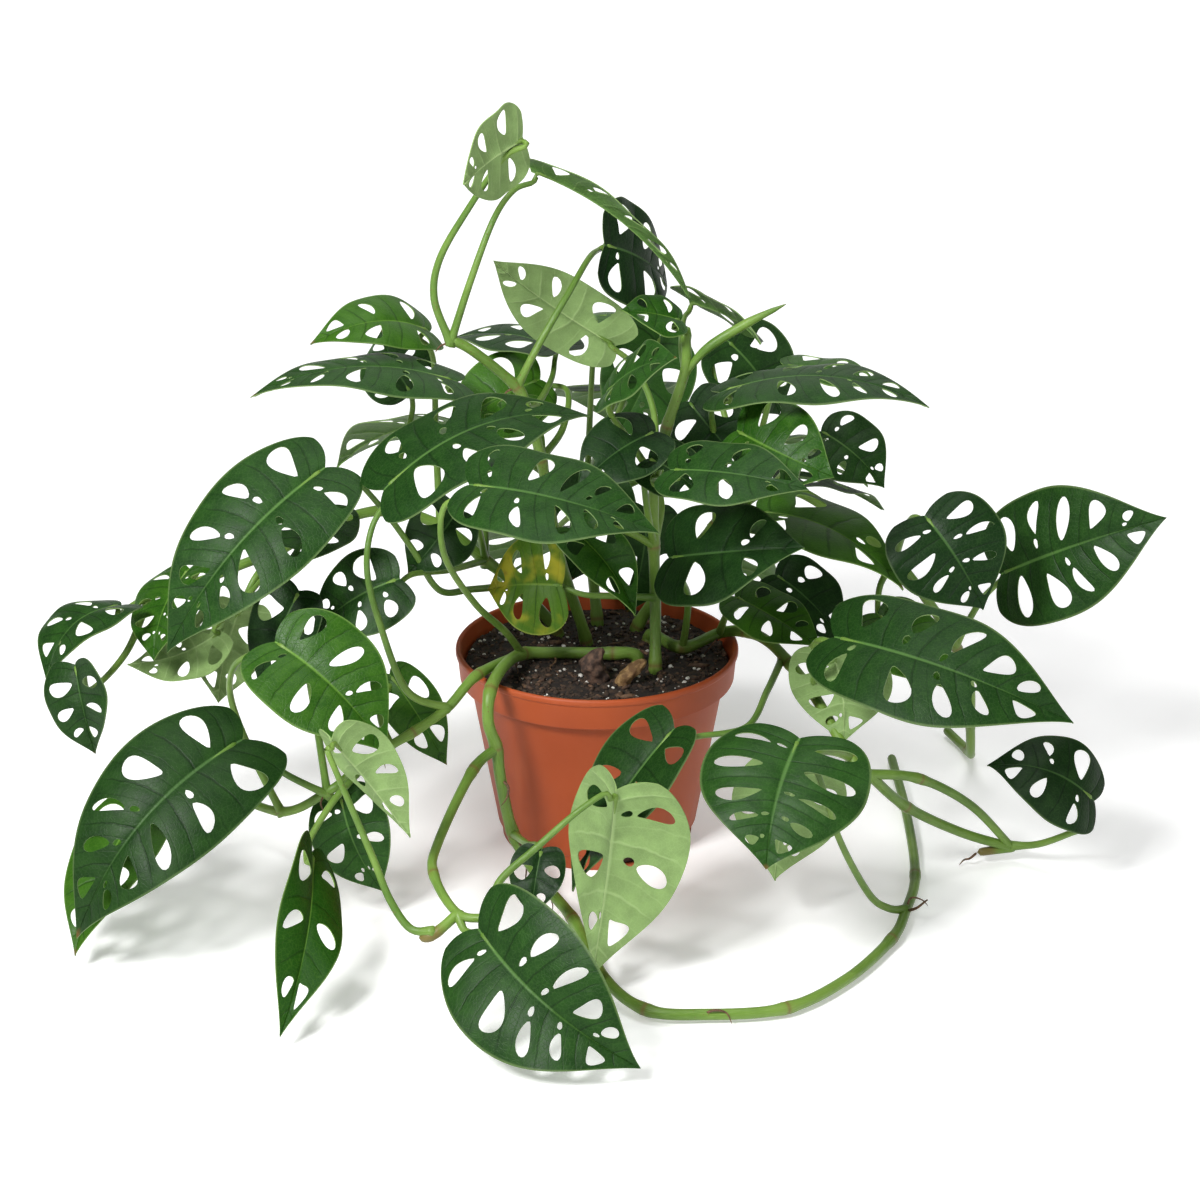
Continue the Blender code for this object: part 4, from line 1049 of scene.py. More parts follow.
@dataclass
class Stems:
    """The stems and leaf stalks of one vine, as one piece."""

    vine: Vine
    taper: float = 0.8
    side_branch: float = 0.85
    branch_step: float = 1.6
    swell: float = 0.22
    swell_width: float = 5.0
    ring: float = 0.07
    ring_width: float = 0.9
    stump_length: float = 30.0
    stalk_step: float = 2.2
    sheath_width: float = 6.5
    surface: Surface = field(default_factory=Surface)

    def branch(self, route: tuple, thin: float) -> None:
        """Add one branch, with a swelling and a ring scar at each of its nodes.

        Args:
            route: The points that it passes; every second one is a node.
            thin: Its share of a main stem's radius.
        """
        places = evenly(catmull(rooted(route), 12), self.branch_step)
        length = self.branch_step * (len(places) - 1)
        marks = [self.share_at(places, Vector(point)) for point in route[1:-1:2]]
        stump = 1.0 if length < self.stump_length else 0.0

        def near_node(share: float, width: float) -> float:
            """Return how near the place is to a node, from 0 to 1."""
            return max((bell((share - mark) * length, width) for mark in marks), default=0.0)

        def radius(share: float) -> float:
            """Return the branch's radius, rounded off at both ends."""
            wide = VINE_RADIUS * thin * between(1.0, self.taper, share)
            swelling = self.swell * near_node(share, self.swell_width)
            wide *= 1.0 + swelling - self.ring * near_node(share, self.ring_width)
            return wide * rounded(min(share, 1.0 - share) * length, 3.0)

        def age(share: float) -> float:
            """Return how brown the skin is: at the ring scars, and where a short stump was cut."""
            scars = near_node(share, self.ring_width) * 0.9 + near_node(share, self.swell_width) * 0.12
            return clamp(scars + stump * soft_step(0.4, 0.7, share))

        self.surface.tube(places, radius, 14, 0.0, age)

    def share_at(self, places: list[Vector], spot: Vector) -> float:
        """Return the share of the way along at which a route passes a spot."""
        nearest = min(range(len(places)), key=lambda index: (places[index] - spot).length_squared)
        return nearest / (len(places) - 1)

    def stalk(self, form: BladeForm) -> None:
        """Add a leaf stalk that runs on under the blade as the start of its midrib.

        Args:
            form: The bent form of the stalk's blade.
        """
        end, normal = form.seat(SEAT_DEPTH + 0.3)
        points = rooted(form.leaf.stalk) + [end - normal * SEAT_APPROACH, end]
        points += [form.bend(share, 0.0) - normal * 0.9 for share in (0.08, 0.16)]
        places = evenly(catmull(points, 10), self.stalk_step)
        length = self.stalk_step * (len(places) - 1)
        blade_share = 0.15 * form.length / max(length, 1.0)

        def radius(share: float) -> float:
            """Return the stalk's radius: wide at its sheath, thin under the blade."""
            wide = between(STALK_ROOT_RADIUS, STALK_TIP_RADIUS, clamp(share / (1.0 - blade_share)))
            wide *= 1.0 + 0.5 * bell(share * length, self.sheath_width)
            wide *= between(1.0, 0.45, soft_step(1.0 - blade_share, 1.0, share))
            return wide * rounded(min(share, 1.0 - share) * length, 1.5)

        self.surface.tube(places, radius, 10, 1.0)

    def spear(self) -> None:
        """Add the rolled young leaf, which ends in a long point."""
        places = evenly(catmull(SPEAR_ROUTE, 12), 1.0)

        def radius(share: float) -> float:
            """Return the roll's radius at a share of the way to its point."""
            wide = table_value(SPEAR_RADII, share)
            return wide * math.sqrt(clamp((1.0 - share) * 9.0)) * math.sqrt(clamp(share * 30.0))

        self.surface.tube(places, radius, 16, 1.0, lambda share: 0.25 * soft_step(0.9, 1.0, share))

    def build(self, material: bpy.types.Material) -> bpy.types.Object:
        """Build all the branches and stalks as one piece.

        Args:
            material: The skin of the stems.

        Returns:
            The stems' object.
        """
        for index, route in enumerate(self.vine.routes):
            self.branch(route, 1.0 if index == 0 else self.side_branch)
        for leaf in self.vine.leaves:
            self.stalk(BladeForm(leaf))
        if self.vine.spear:
            self.spear()
        piece = self.surface.finish(self.vine.name + "_stems")
        piece.data.materials.append(material)
        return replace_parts(piece, self.vine.name)


class AerialRoots:
    """The thin brown roots that grow from the nodes of the vines."""

    def build(self, material: bpy.types.Material) -> bpy.types.Object:
        """Build all the roots as one piece.

        Args:
            material: The roots' finish.

        Returns:
            The roots' object.
        """
        surface = Surface()
        for wide, *points in AERIAL_ROOTS:

            def radius(share: float) -> float:
                """Return the root's radius, thinning to its point."""
                return wide * math.sqrt(clamp((1.0 - share) * 1.3)) * math.sqrt(clamp(share * 12.0))

            surface.tube(evenly(catmull(points, 10), 0.9), radius, 8, 0.4, lambda share: 1.0)
        roots = surface.finish("aerial_roots")
        roots.data.materials.append(material)
        return roots


class Graph:
    """A short way to write a node tree."""

    def __init__(self, tree: bpy.types.NodeTree) -> None:
        """Keep the tree that the nodes go into."""
        self.tree = tree

    def put(self, target: Socket, value: Socket | float | tuple) -> None:
        """Link an output to an input socket, or set the input's own value.

        Args:
            target: The input.
            value: An output to link, or the value.
        """
        if isinstance(value, Socket):
            self.tree.links.new(value, target)
        else:
            target.default_value = value

    def node(self, kind: str, inputs: dict | None = None, **settings) -> bpy.types.Node:
        """Add a node.

        Args:
            kind: The node's type, without its ShaderNode prefix.
            inputs: Socket names or numbers with a value or a socket to link.
            settings: The node's own properties.

        Returns:
            The new node.
        """
        made = self.tree.nodes.new(kind if kind.startswith("Node") else "ShaderNode" + kind)
        for key, value in settings.items():
            setattr(made, key, value)
        for key, value in (inputs or {}).items():
            self.put(made.inputs[key], value)
        return made

    def math(self, operation: str, first: Socket | float, second: Socket | float = 0.0,
             third: Socket | float = 0.0) -> Socket:
        """Add a math node and return its output."""
        return self.node("Math", {0: first, 1: second, 2: third}, operation=operation).outputs[0]

    def times(self, first: Socket, second: Socket | float) -> Socket:
        """Return the product of two values."""
        return self.math("MULTIPLY", first, second)

    def plus(self, value: Socket, scale: float, rest: Socket | float) -> Socket:
        """Return the value times the scale plus the rest."""
        return self.math("MULTIPLY_ADD", value, scale, rest)

    def flip(self, value: Socket) -> Socket:
        """Return one minus the value."""
        return self.math("SUBTRACT", 1.0, value)

    def off_whole(self, value: Socket) -> Socket:
        """Return how far the fraction of a value is from one half."""
        return self.math("ABSOLUTE", self.math("SUBTRACT", self.math("FRACT", value), 0.5))

    def ramp(self, value: Socket, low: float, high: float) -> Socket:
        """Return value mapped smoothly so that low gives 0 and high gives 1."""
        return self.node("MapRange", {0: value, 1: low, 2: high}, interpolation_type="SMOOTHSTEP").outputs[0]

    def mix(self, share: Socket, first: Socket | tuple, second: Socket | tuple) -> Socket:
        """Return a mix of two colours, each a socket or three numbers."""
        pair = [value if isinstance(value, Socket) else (*value, 1.0) for value in (first, second)]
        return self.node("Mix", {0: share, 6: pair[0], 7: pair[1]}, data_type="RGBA").outputs[2]

    def tint(self, colour: Socket, mask: Socket, amount: float | Socket, paint: tuple) -> Socket:
        """Return the colour with an amount of paint over it where the mask is."""
        return self.mix(self.times(mask, amount), colour, paint)

    def noise(self, vector: Socket, scale: float, detail: float = 2.0) -> Socket:
        """Return a noise value between 0 and 1."""
        return self.node("TexNoise", {"Vector": vector, "Scale": scale, "Detail": detail}).outputs[0]

    def cells(self, vector: Socket, scale: float | Socket, feature: str = "F1") -> Socket:
        """Return the distance that a cell pattern gives."""
        return self.node("TexVoronoi", {"Vector": vector, "Scale": scale}, feature=feature).outputs[0]

    def uv(self, name: str) -> Socket:
        """Return a UV map of the piece."""
        return self.node("UVMap", uv_map=name).outputs[0]

    def attribute(self, name: str) -> Socket:
        """Return a shade attribute of the piece."""
        return self.node("Attribute", attribute_name=name).outputs["Fac"]

    def spot(self) -> Socket:
        """Return the place in object coordinates."""
        return self.node("TexCoord").outputs["Object"]


class Finish(Graph):
    """A material in the making, with its Principled shader."""

    def __init__(self, name: str) -> None:
        """Start the material."""
        self.material = bpy.data.materials.new(name)
        self.material.use_nodes = True
        super().__init__(self.material.node_tree)
        self.shader = self.tree.nodes["Principled BSDF"]

    def close(self, colour: Socket, rough: Socket, relief: Socket, bump: tuple,
              gloss: float = 0.5) -> bpy.types.Material:
        """Lead colour, roughness and relief into the shader.

        Args:
            colour: The base colour.
            rough: The roughness.
            relief: The height of the fine relief.
            bump: The relief's strength and its depth in metres.
            gloss: The shader's specular level.

        Returns:
            The material.
        """
        normal = self.node("Bump", {"Height": relief, "Strength": bump[0], "Distance": bump[1]}).outputs[0]
        self.put(self.shader.inputs["Base Color"], colour)
        self.put(self.shader.inputs["Roughness"], rough)
        self.put(self.shader.inputs["Normal"], normal)
        self.put(self.shader.inputs["Specular IOR Level"], gloss)
        return self.material


class VeinGroup(Graph):
    """The node group that draws the veins of a blade from its own UV maps."""

    NAME = "leaf_veins"
    OUTPUTS = ("Midrib", "Vein", "Net", "Margin", "Mottle", "Speck")
    NET_SCALE = 5.0

    def __init__(self) -> None:
        """Start the group with its sockets."""
        super().__init__(bpy.data.node_groups.new(self.NAME, "ShaderNodeTree"))
        sockets = self.tree.interface
        scale = sockets.new_socket(name="Net Scale", in_out="INPUT", socket_type="NodeSocketFloat")
        scale.default_value = self.NET_SCALE
        for label in self.OUTPUTS:
            sockets.new_socket(name=label, in_out="OUTPUT", socket_type="NodeSocketFloat")
        self.net_scale = self.node("NodeGroupInput").outputs["Net Scale"]
        self.end = self.node("NodeGroupOutput").inputs

    def build(self) -> None:
        """Draw midrib, side veins, net, margin, mottle and specks."""
        skin = self.node("SeparateXYZ", {0: self.uv("skin")})
        number, q = skin.outputs[0], skin.outputs[1]
        flat = self.uv("flat")
        wavy = self.math("ADD", number, self.plus(self.noise(flat, 1.1), 0.10, -0.05))
        off = self.math("DIVIDE", self.off_whole(self.math("ADD", wavy, 0.5)), self.plus(q, -0.022, 0.036))
        lateral = self.times(self.flip(self.ramp(off, 0.25, 1.3)), self.flip(self.ramp(q, 0.75, 1.0)))
        minor = self.times(self.flip(self.ramp(self.off_whole(self.plus(wavy, 3.0, 0.5)), 0.01, 0.07)), 0.45)
        self.put(self.end["Vein"], self.math("MAXIMUM", lateral, minor))
        self.put(self.end["Midrib"], self.flip(self.ramp(q, 0.008, 0.034)))
        net = self.cells(flat, self.net_scale, "DISTANCE_TO_EDGE")
        self.put(self.end["Net"], self.flip(self.ramp(net, 0.0, 0.09)))
        self.put(self.end["Margin"], self.ramp(q, 0.955, 0.99))
        self.put(self.end["Mottle"], self.noise(flat, 0.9, 4.0))
        dots = self.flip(self.ramp(self.cells(flat, 9.0), 0.05, 0.12))
        few = self.ramp(self.noise(flat, 2.3), 0.5, 0.62)
        self.put(self.end["Speck"], self.times(dots, few))


@dataclass(frozen=True)
class LeafFinish:
    """The colours of one kind of leaf, upper side, underside and edge."""

    kind: LeafKind
    slot: str
    deep: tuple
    light: tuple
    vein: tuple
    under: tuple
    under_vein: tuple
    edge: tuple
    patch: tuple = (0.0, 0.0, 0.0)
    patches: float = 0.0
    roughness: float = 0.38
    dust: tuple = (0.30, 0.38, 0.28)
    withered: tuple = (0.130, 0.075, 0.020)
    burnt: tuple = (0.160, 0.070, 0.020)
    gloss: float = 0.13

    def materials(self) -> list[bpy.types.Material]:
        """Return the upper, under and edge materials, built once for each kind."""
        names = [f"leaf_{self.kind.value}_{part}" for part in ("top", "under", "edge")]
        if names[0] not in bpy.data.materials:
            self.top(names[0])
            self.below(names[1])
            self.rim(names[2])
        return [bpy.data.materials[name] for name in names]

    def start(self, name: str) -> tuple[Finish, bpy.types.NodeOutputs]:
        """Start a material and return it with the outputs of its vein group."""
        finish = Finish(name)
        return finish, finish.node("Group", node_tree=bpy.data.node_groups[VeinGroup.NAME]).outputs

    def top(self, name: str) -> None:
        """Build the glossy upper side: dark between the veins, with a pale midrib, a pale fine net and
        painted shade along the sunken side veins.

        Args:
            name: The material's name.
        """
        finish, veins = self.start(name)
        tone, age = finish.attribute("tone"), finish.attribute("age")
        shade = finish.plus(tone, 0.5, finish.times(veins["Mottle"], 0.9))
        colour = finish.mix(finish.ramp(shade, 0.15, 0.85), self.deep, self.light)
        colour = finish.tint(colour, veins["Net"], 0.10, self.vein)
        # Painted shade: the side veins get a colour darker than the deepest green, standing in for the shade
        # in their sunken grooves.
        colour = finish.tint(colour, veins["Vein"], 0.55, tuple(value * 0.45 for value in self.deep))
        colour = finish.tint(colour, veins["Midrib"], finish.plus(age, -0.75, 0.85), self.vein)
        colour = finish.tint(colour, veins["Margin"], 0.35, self.edge)
        colour = finish.tint(colour, veins["Speck"], 0.20, self.dust)
        tip = finish.times(finish.ramp(age, 0.955, 0.985), finish.ramp(tone, 0.0, 0.15))
        colour = finish.tint(colour, tip, 0.8, self.withered)
        if self.patches:
            cloud = finish.noise(finish.uv("flat"), 0.45, 3.0)
            yellow = finish.ramp(cloud, 0.90 - self.patches, 1.08 - self.patches)
            colour = finish.tint(colour, yellow, 0.85, self.patch)
            brown = finish.ramp(cloud, 1.10 - self.patches, 1.18 - self.patches)
            colour = finish.tint(colour, brown, 0.7, self.burnt)
        self.close(finish, veins, colour, -0.25)

    def below(self, name: str) -> None:
        """Build the matt pale underside with raised veins.

        Args:
            name: The material's name.
        """
        finish, veins = self.start(name)
        shaded = tuple(value * 0.78 for value in self.under)
        colour = finish.mix(finish.ramp(veins["Mottle"], 0.3, 0.7), shaded, self.under)
        for part, amount in (("Net", 0.18), ("Vein", 0.45), ("Midrib", 0.9)):
            colour = finish.tint(colour, veins[part], amount, self.under_vein)
        self.close(finish, veins, colour, 0.3)

    def rim(self, name: str) -> None:
        """Build the pale line of the blade's cut edge."""
        finish, veins = self.start(name)
        self.close(finish, veins, finish.mix(finish.times(veins["Mottle"], 0.5), self.edge, self.light), 0.0)

    def close(self, finish: Finish, veins: bpy.types.NodeOutputs, colour: Socket, height: float) -> None:
        """Add roughness and relief to a side of the blade and close its material.

        Args:
            finish: The material in the making.
            veins: The vein group's outputs.
            colour: The side's colour.
            height: How far the veins stand up, or sink when negative.
        """
        speck = finish.noise(finish.uv("flat"), 28.0)
        matt = self.roughness - 0.08 + (0.14 if height > 0 else 0.0)
        rough = finish.plus(veins["Mottle"], 0.08, finish.plus(speck, 0.16, matt))
        raised = finish.times(veins["Vein"], height)
        raised = finish.plus(veins["Net"], height * 0.35, raised)
        raised = finish.plus(veins["Midrib"], height, raised)
        raised = finish.plus(speck, 0.10, raised)
        finish.close(colour, rough, raised, (0.55, 0.0008), self.gloss)


LEAF_FINISHES = {finish.kind: finish for finish in (
    LeafFinish(
        LeafKind.DARK, "leaf_dark", (0.007, 0.031, 0.004), (0.019, 0.068, 0.008), (0.090, 0.195, 0.045),
        (0.075, 0.160, 0.036), (0.160, 0.270, 0.075), (0.190, 0.280, 0.100)),
    LeafFinish(
        LeafKind.DEEP, "leaf_deep", (0.004, 0.020, 0.003), (0.013, 0.046, 0.006), (0.060, 0.135, 0.035),
        (0.060, 0.130, 0.030), (0.130, 0.230, 0.060), (0.140, 0.220, 0.080)),
    LeafFinish(
        LeafKind.FRESH, "leaf_fresh", (0.011, 0.053, 0.003), (0.034, 0.105, 0.007), (0.125, 0.255, 0.035),
        (0.085, 0.180, 0.025), (0.180, 0.310, 0.065), (0.210, 0.330, 0.090), roughness=0.32),
    LeafFinish(
        LeafKind.PALE, "vine", (0.015, 0.066, 0.006), (0.042, 0.122, 0.012), (0.135, 0.265, 0.050),
        (0.215, 0.330, 0.115), (0.310, 0.430, 0.180), (0.250, 0.360, 0.130)),
    LeafFinish(
        LeafKind.YELLOWING, "leaf_yellowing", (0.015, 0.055, 0.004), (0.048, 0.112, 0.007),
        (0.150, 0.240, 0.035), (0.150, 0.240, 0.060), (0.260, 0.360, 0.100), (0.360, 0.380, 0.080),
        patch=(0.330, 0.300, 0.020), patches=0.40),
)}


@dataclass(frozen=True)
class StemFinish:
    """The smooth green skin of the stems, with pale streaks, brown scars and warts."""

    vine: tuple = ((0.078, 0.160, 0.018), (0.150, 0.260, 0.040))
    stalk: tuple = ((0.066, 0.145, 0.017), (0.150, 0.255, 0.042))
    streak: tuple = (0.240, 0.350, 0.100)
    scar: tuple = (0.150, 0.095, 0.030)
    wart: tuple = (0.140, 0.070, 0.025)

    def material(self) -> bpy.types.Material:
        """Build the skin.

        Returns:
            The material.
        """
        finish = Finish("stem_skin")
        spot = finish.spot()
        drawn = finish.node("Mapping", {"Vector": finish.uv("skin"), "Scale": (0.6, 14.0, 1.0)}).outputs[0]
        lines = finish.noise(drawn, 3.0, 3.0)
        cloud = finish.ramp(finish.noise(spot, 30.0, 3.0), 0.3, 0.7)
        age = finish.attribute("age")
        skins = [finish.mix(cloud, *pair) for pair in (self.vine, self.stalk)]
        colour = finish.mix(finish.attribute("tone"), *skins)
        colour = finish.tint(colour, finish.ramp(lines, 0.45, 0.75), 0.35, self.streak)
        colour = finish.tint(colour, age, 0.8, self.scar)
        warts = finish.flip(finish.ramp(finish.cells(spot, 420.0), 0.10, 0.22))
        warts = finish.times(warts, finish.ramp(finish.noise(spot, 22.0), 0.52, 0.62))
        colour = finish.tint(colour, warts, 0.7, self.wart)
        relief = finish.plus(warts, 0.5, finish.plus(age, -0.4, lines))
        return finish.close(colour, finish.plus(lines, 0.15, 0.30), relief, (0.35, 0.0005), 0.3)


@dataclass(frozen=True)
class PlasticFinish:
    """The terracotta plastic: fine grain, dusty streaks and soil dirt at rim and foot."""

    deep: tuple = (0.330, 0.055, 0.011)
    light: tuple = (0.400, 0.074, 0.017)
    dust: tuple = (0.520, 0.200, 0.100)
    dirt: tuple = (0.180, 0.080, 0.045)

    def material(self) -> bpy.types.Material:
        """Build the plastic.

        Returns:
            The material.
        """
        finish = Finish("terracotta_plastic")
        spot = finish.spot()
        cloud = finish.noise(spot, 14.0, 4.0)
        grain = finish.noise(spot, 1400.0)
        drawn = finish.node("Mapping", {"Vector": spot, "Scale": (60.0, 60.0, 6.0)}).outputs[0]
        rub = finish.noise(drawn, 1.0, 3.0)
        colour = finish.mix(finish.ramp(cloud, 0.3, 0.7), self.deep, self.light)
        colour = finish.tint(colour, finish.ramp(rub, 0.58, 0.8), 0.16, self.dust)
        height = finish.node("SeparateXYZ", {0: spot}).outputs[2]
        low = finish.flip(finish.ramp(height, 0.0, 0.02))
        soiled = finish.math("MAXIMUM", low, finish.ramp(height, 0.104, 0.109))
        soiled = finish.times(soiled, finish.ramp(cloud, 0.45, 0.7))
        colour = finish.tint(colour, soiled, 0.35, self.dirt)
        relief = finish.plus(rub, 0.5, grain)
        return finish.close(colour, finish.plus(rub, 0.18, 0.44), relief, (0.18, 0.0003), 0.32)


@dataclass(frozen=True)
class EarthFinish:
    """A crumbly finish of two colours, for soil, bark, perlite, roots and dry stubs."""

    name: str
    deep: tuple
    light: tuple
    roughness: float
    scale: float

    def material(self) -> bpy.types.Material:
        """Build the finish.

        Returns:
            The material.
        """
        finish = Finish(self.name)
        speck = finish.noise(finish.spot(), self.scale, 6.0)
        patchy = finish.math("SUBTRACT", finish.ramp(speck, 0.35, 0.75), 0.2)
        colour = finish.mix(finish.plus(finish.attribute("tone"), 0.6, patchy), self.deep, self.light)
        return finish.close(colour, finish.plus(speck, 0.2, self.roughness - 0.1), speck, (0.8, 0.0012))


@dataclass
class Pot:
    """The moulded plastic pot with its rim band, foot line and drain slots."""

    rim_radius: float = 76.0
    height: float = 110.0
    band_height: float = 17.5
    neck_radius: float = 68.5
    foot_radius: float = 52.5
    foot_height: float = 9.0
    foot_line: float = 54.1
    wall: float = 1.5
    bottom: float = 2.0
    lip: float = 0.6
    drains: int = 6
    first_drain: float = -72.0
    drain_size: tuple = (10.0, 9.0, 5.0)
    drain_level: float = 4.6
    segments: int = 160
    edge_angle: float = 40.0

    def profile(self) -> list[tuple[float, float]]:
        """Return the closed outline of the wall as (radius, height), outside first."""
        band_foot = self.height - self.band_height
        return [
            (0.0, 0.0),
            (self.foot_radius - 0.8, 0.0),
            (self.foot_radius, self.foot_height - 1.2),
            (self.foot_line, self.foot_height),
            (self.neck_radius, band_foot - 1.0),
            (self.rim_radius - 2.2, band_foot),
            (self.rim_radius - 1.0, self.height - 4.2),
            (self.rim_radius, self.height - 3.5),
            (self.rim_radius, self.height - 1.0),
            (self.rim_radius - 1.2, self.height),
            (self.rim_radius - self.wall - 1.4, self.height - 0.8),
            (self.rim_radius - self.wall - 3.0, band_foot + 5.5),
            (self.neck_radius - self.wall, band_foot + 0.5),
            (self.foot_line - self.wall, self.foot_height + 1.0),
            (self.foot_radius - self.wall, self.bottom),
            (0.0, self.bottom),
        ]

    def build(self, material: bpy.types.Material) -> bpy.types.Object:
        """Spin the profile, round its corners and cut the drain slots.

        Args:
            material: The moulded plastic.

        Returns:
            The pot's object.
        """
        surface = Surface()
        work = surface.work
        corners = [work.verts.new((radius * MM, 0.0, height * MM)) for radius, height in self.profile()]
        for pair in zip(corners, corners[1:]):
            work.edges.new(pair)
        bmesh.ops.bevel(work, geom=corners[1:-1], offset=self.lip * MM, offset_type="OFFSET", segments=2,
                        profile=0.5, affect="VERTICES", material=-1)
        bmesh.ops.spin(work, geom=work.verts[:] + work.edges[:], cent=(0, 0, 0), axis=(0, 0, 1),
                       angle=math.tau, steps=self.segments, use_merge=True)
        bmesh.ops.remove_doubles(work, verts=work.verts, dist=POT_WELD)
        pot = surface.finish("pot_body")
        self.cut_slots(pot)
        pot.data.materials.clear()
        pot.data.materials.append(material)
        pot.data.shade_smooth()
        pot.data.set_sharp_from_angle(angle=math.radians(self.edge_angle))
        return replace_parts(pot, "pot")

    def cut_slots(self, pot: bpy.types.Object) -> None:
        """Cut the drain slots at the foot of the wall.

        Args:
            pot: The pot's object.
        """
        work = bmesh.new()
        for index in range(self.drains):
            turn = math.radians(self.first_drain + index * 360.0 / self.drains)
            made = bmesh.ops.create_cube(work, size=1.0)["verts"]
            bmesh.ops.scale(work, vec=Vector(self.drain_size) * MM, verts=made)
            middle = Vector((self.foot_radius - 0.6, 0.0, self.drain_level)) * MM
            bmesh.ops.translate(work, vec=middle, verts=made)
            bmesh.ops.rotate(work, cent=(0, 0, 0), matrix=Matrix.Rotation(turn, 3, "Z"), verts=made)
        cutter = add_object("drain_slots", mesh_of(work, "drain_slots"))
        cut = pot.modifiers.new("slots", "BOOLEAN")
        cut.operation = "DIFFERENCE"
        cut.object = cutter
        settle(pot)
        bpy.data.objects.remove(cutter, do_unlink=True)


@dataclass(frozen=True)
class Lumps:
    """One kind of small lump that lies scattered over the soil."""

    name: str
    count: int
    size: tuple
    stretch: float
    finish: EarthFinish


LUMPS = (
    Lumps("soil_crumbs", 1500, (0.5, 1.7), 1.6,
          EarthFinish("soil_crumb", (0.010, 0.006, 0.004), (0.085, 0.050, 0.030), 0.9, 500.0)),
    Lumps("soil_bark", 160, (0.8, 2.2), 3.5,
          EarthFinish("bark_chip", (0.030, 0.016, 0.010), (0.140, 0.075, 0.040), 0.8, 400.0)),
    Lumps("perlite", 260, (0.4, 1.5), 1.3,
          EarthFinish("perlite_white", (0.450, 0.420, 0.370), (0.800, 0.780, 0.730), 0.8, 500.0)),
)


@dataclass
class Soil:
    """Potting soil: a lumpy bed with crumbs, bark and white perlite grains."""

    level: float = 102.0
    crown: float = 2.2
    rings: int = 60
    spokes: int = 180
    top_share: float = 0.8
    side_share: float = 0.2
    scatter_radius: float = 69.5
    seed: int = 4
    finish: EarthFinish = EarthFinish("soil_dark", (0.010, 0.006, 0.004), (0.060, 0.034, 0.020), 0.9, 260.0)

    def build(self) -> None:
        """Build the bed and everything that lies on it."""
        self.bed()
        for lumps in LUMPS:
            self.scatter(lumps)

    def height(self, x: float, y: float) -> float:
        """Measure the soil's surface.

        Args:
            x: The place from left to right, in millimetres.
            y: The place from front to back, in millimetres.

        Returns:
            The surface's height there, in millimetres.
        """
        level = self.level + self.crown - 2.4 * (math.hypot(x, y) / 70.0) ** 2
        for size, layer, pitch in ((1.1, 3.0, 0.07), (0.7, 7.0, 0.21), (0.35, 9.0, 0.6)):
            level += size * noise.noise(Vector((x, y, layer)) * pitch)
        return level

    def bed(self) -> bpy.types.Object:
        """Build the closed bed of soil that fills the pot.

        Returns:
            The bed's object.
        """
        radii, heights = zip(*SOIL_SIDE)

        def place(first: float, second: float) -> Vector:
            """Return the skin's place: the top from the middle out, then the side and the bottom."""
            turn = second * math.tau
            if first < self.top_share:
                radius = radii[0] * (first / self.top_share) ** 0.8
                x, y = radius * math.cos(turn), radius * math.sin(turn)
                return Vector((x, y, self.height(x, y)))
            share = (first - self.top_share) / self.side_share
            radius = table_value(radii, share)
            return Vector((radius * math.cos(turn), radius * math.sin(turn), table_value(heights, share)))

        surface = Surface()
        surface.wrap(self.rings, self.spokes, place, (10.0, 10.0), 0.0)
        bed = surface.finish("soil_bed")
        bed.data.materials.append(self.finish.material())
        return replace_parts(bed, "soil")

    def scatter(self, lumps: Lumps) -> bpy.types.Object:
        """Scatter small lumps over the bed.

        Args:
            lumps: How many there are, their sizes and their finish.

        Returns:
            The lumps as one object.
        """
        draw = random.Random(f"{lumps.name}{self.seed}")
        surface = Surface()
        for _ in range(lumps.count):
            radius = self.scatter_radius * math.sqrt(draw.random())
            turn = draw.random() * math.tau
            x, y = radius * math.cos(turn), radius * math.sin(turn)
            wide = between(*lumps.size, draw.random() ** 2.2)
            made = bmesh.ops.create_icosphere(surface.work, subdivisions=1, radius=1.0)["verts"]
            long = 1.0 + (lumps.stretch - 1.0) * draw.random()
            heading = Vector((draw.uniform(-1, 1), draw.uniform(-1, 1), draw.uniform(-0.35, 0.35)))
            turned = heading.to_track_quat("X", "Z")
            centre = Vector((x, y, self.height(x, y) + wide * 0.25))
            tone = draw.random()
            for vert in made:
                jag = 1.0 + 0.45 * noise.noise(vert.co * 1.6 + Vector((x, y, 0.0)))
                lump = Vector((vert.co.x * long, vert.co.y, vert.co.z * 0.75)) * (wide * jag)
                vert[surface.tone] = tone
                vert.co = (centre + turned @ lump) * MM
        piece = surface.finish(lumps.name)
        piece.data.materials.append(lumps.finish.material())
        return piece


@dataclass
class Stub:
    """A dry stub of old growth that stands in the soil."""

    name: str
    slot: str
    route: tuple
    radii: tuple
    finish: EarthFinish
    rough: float = 0.28

    def build(self) -> bpy.types.Object:
        """Build the stub as a gnarled closed body.

        Returns:
            The stub's object.
        """
        places = evenly(catmull(self.route, 8), 0.8)
        last = len(places) - 1

        def place(first: float, second: float) -> Vector:
            """Return the skin's place with its ridges and knobs."""
            turn = second * math.tau
            centre = places[round(first * last)]
            out = Vector((math.cos(turn), math.sin(turn), 0.0))
            knob = 1.0 + self.rough * noise.noise(centre * 0.25 + out * 1.7)
            knob += 0.10 * math.sin(turn * 7.0 + first * 9.0)
            wide = table_value(self.radii, first) * rounded(min(first, 1.0 - first), 0.125)
            return centre + out * wide * knob

        surface = Surface()
        surface.wrap(last, 28, place, (4.0, 2.0), 0.4)
        stub = surface.finish(self.name + "_body")
        stub.data.materials.append(self.finish.material())
        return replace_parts(stub, self.name)


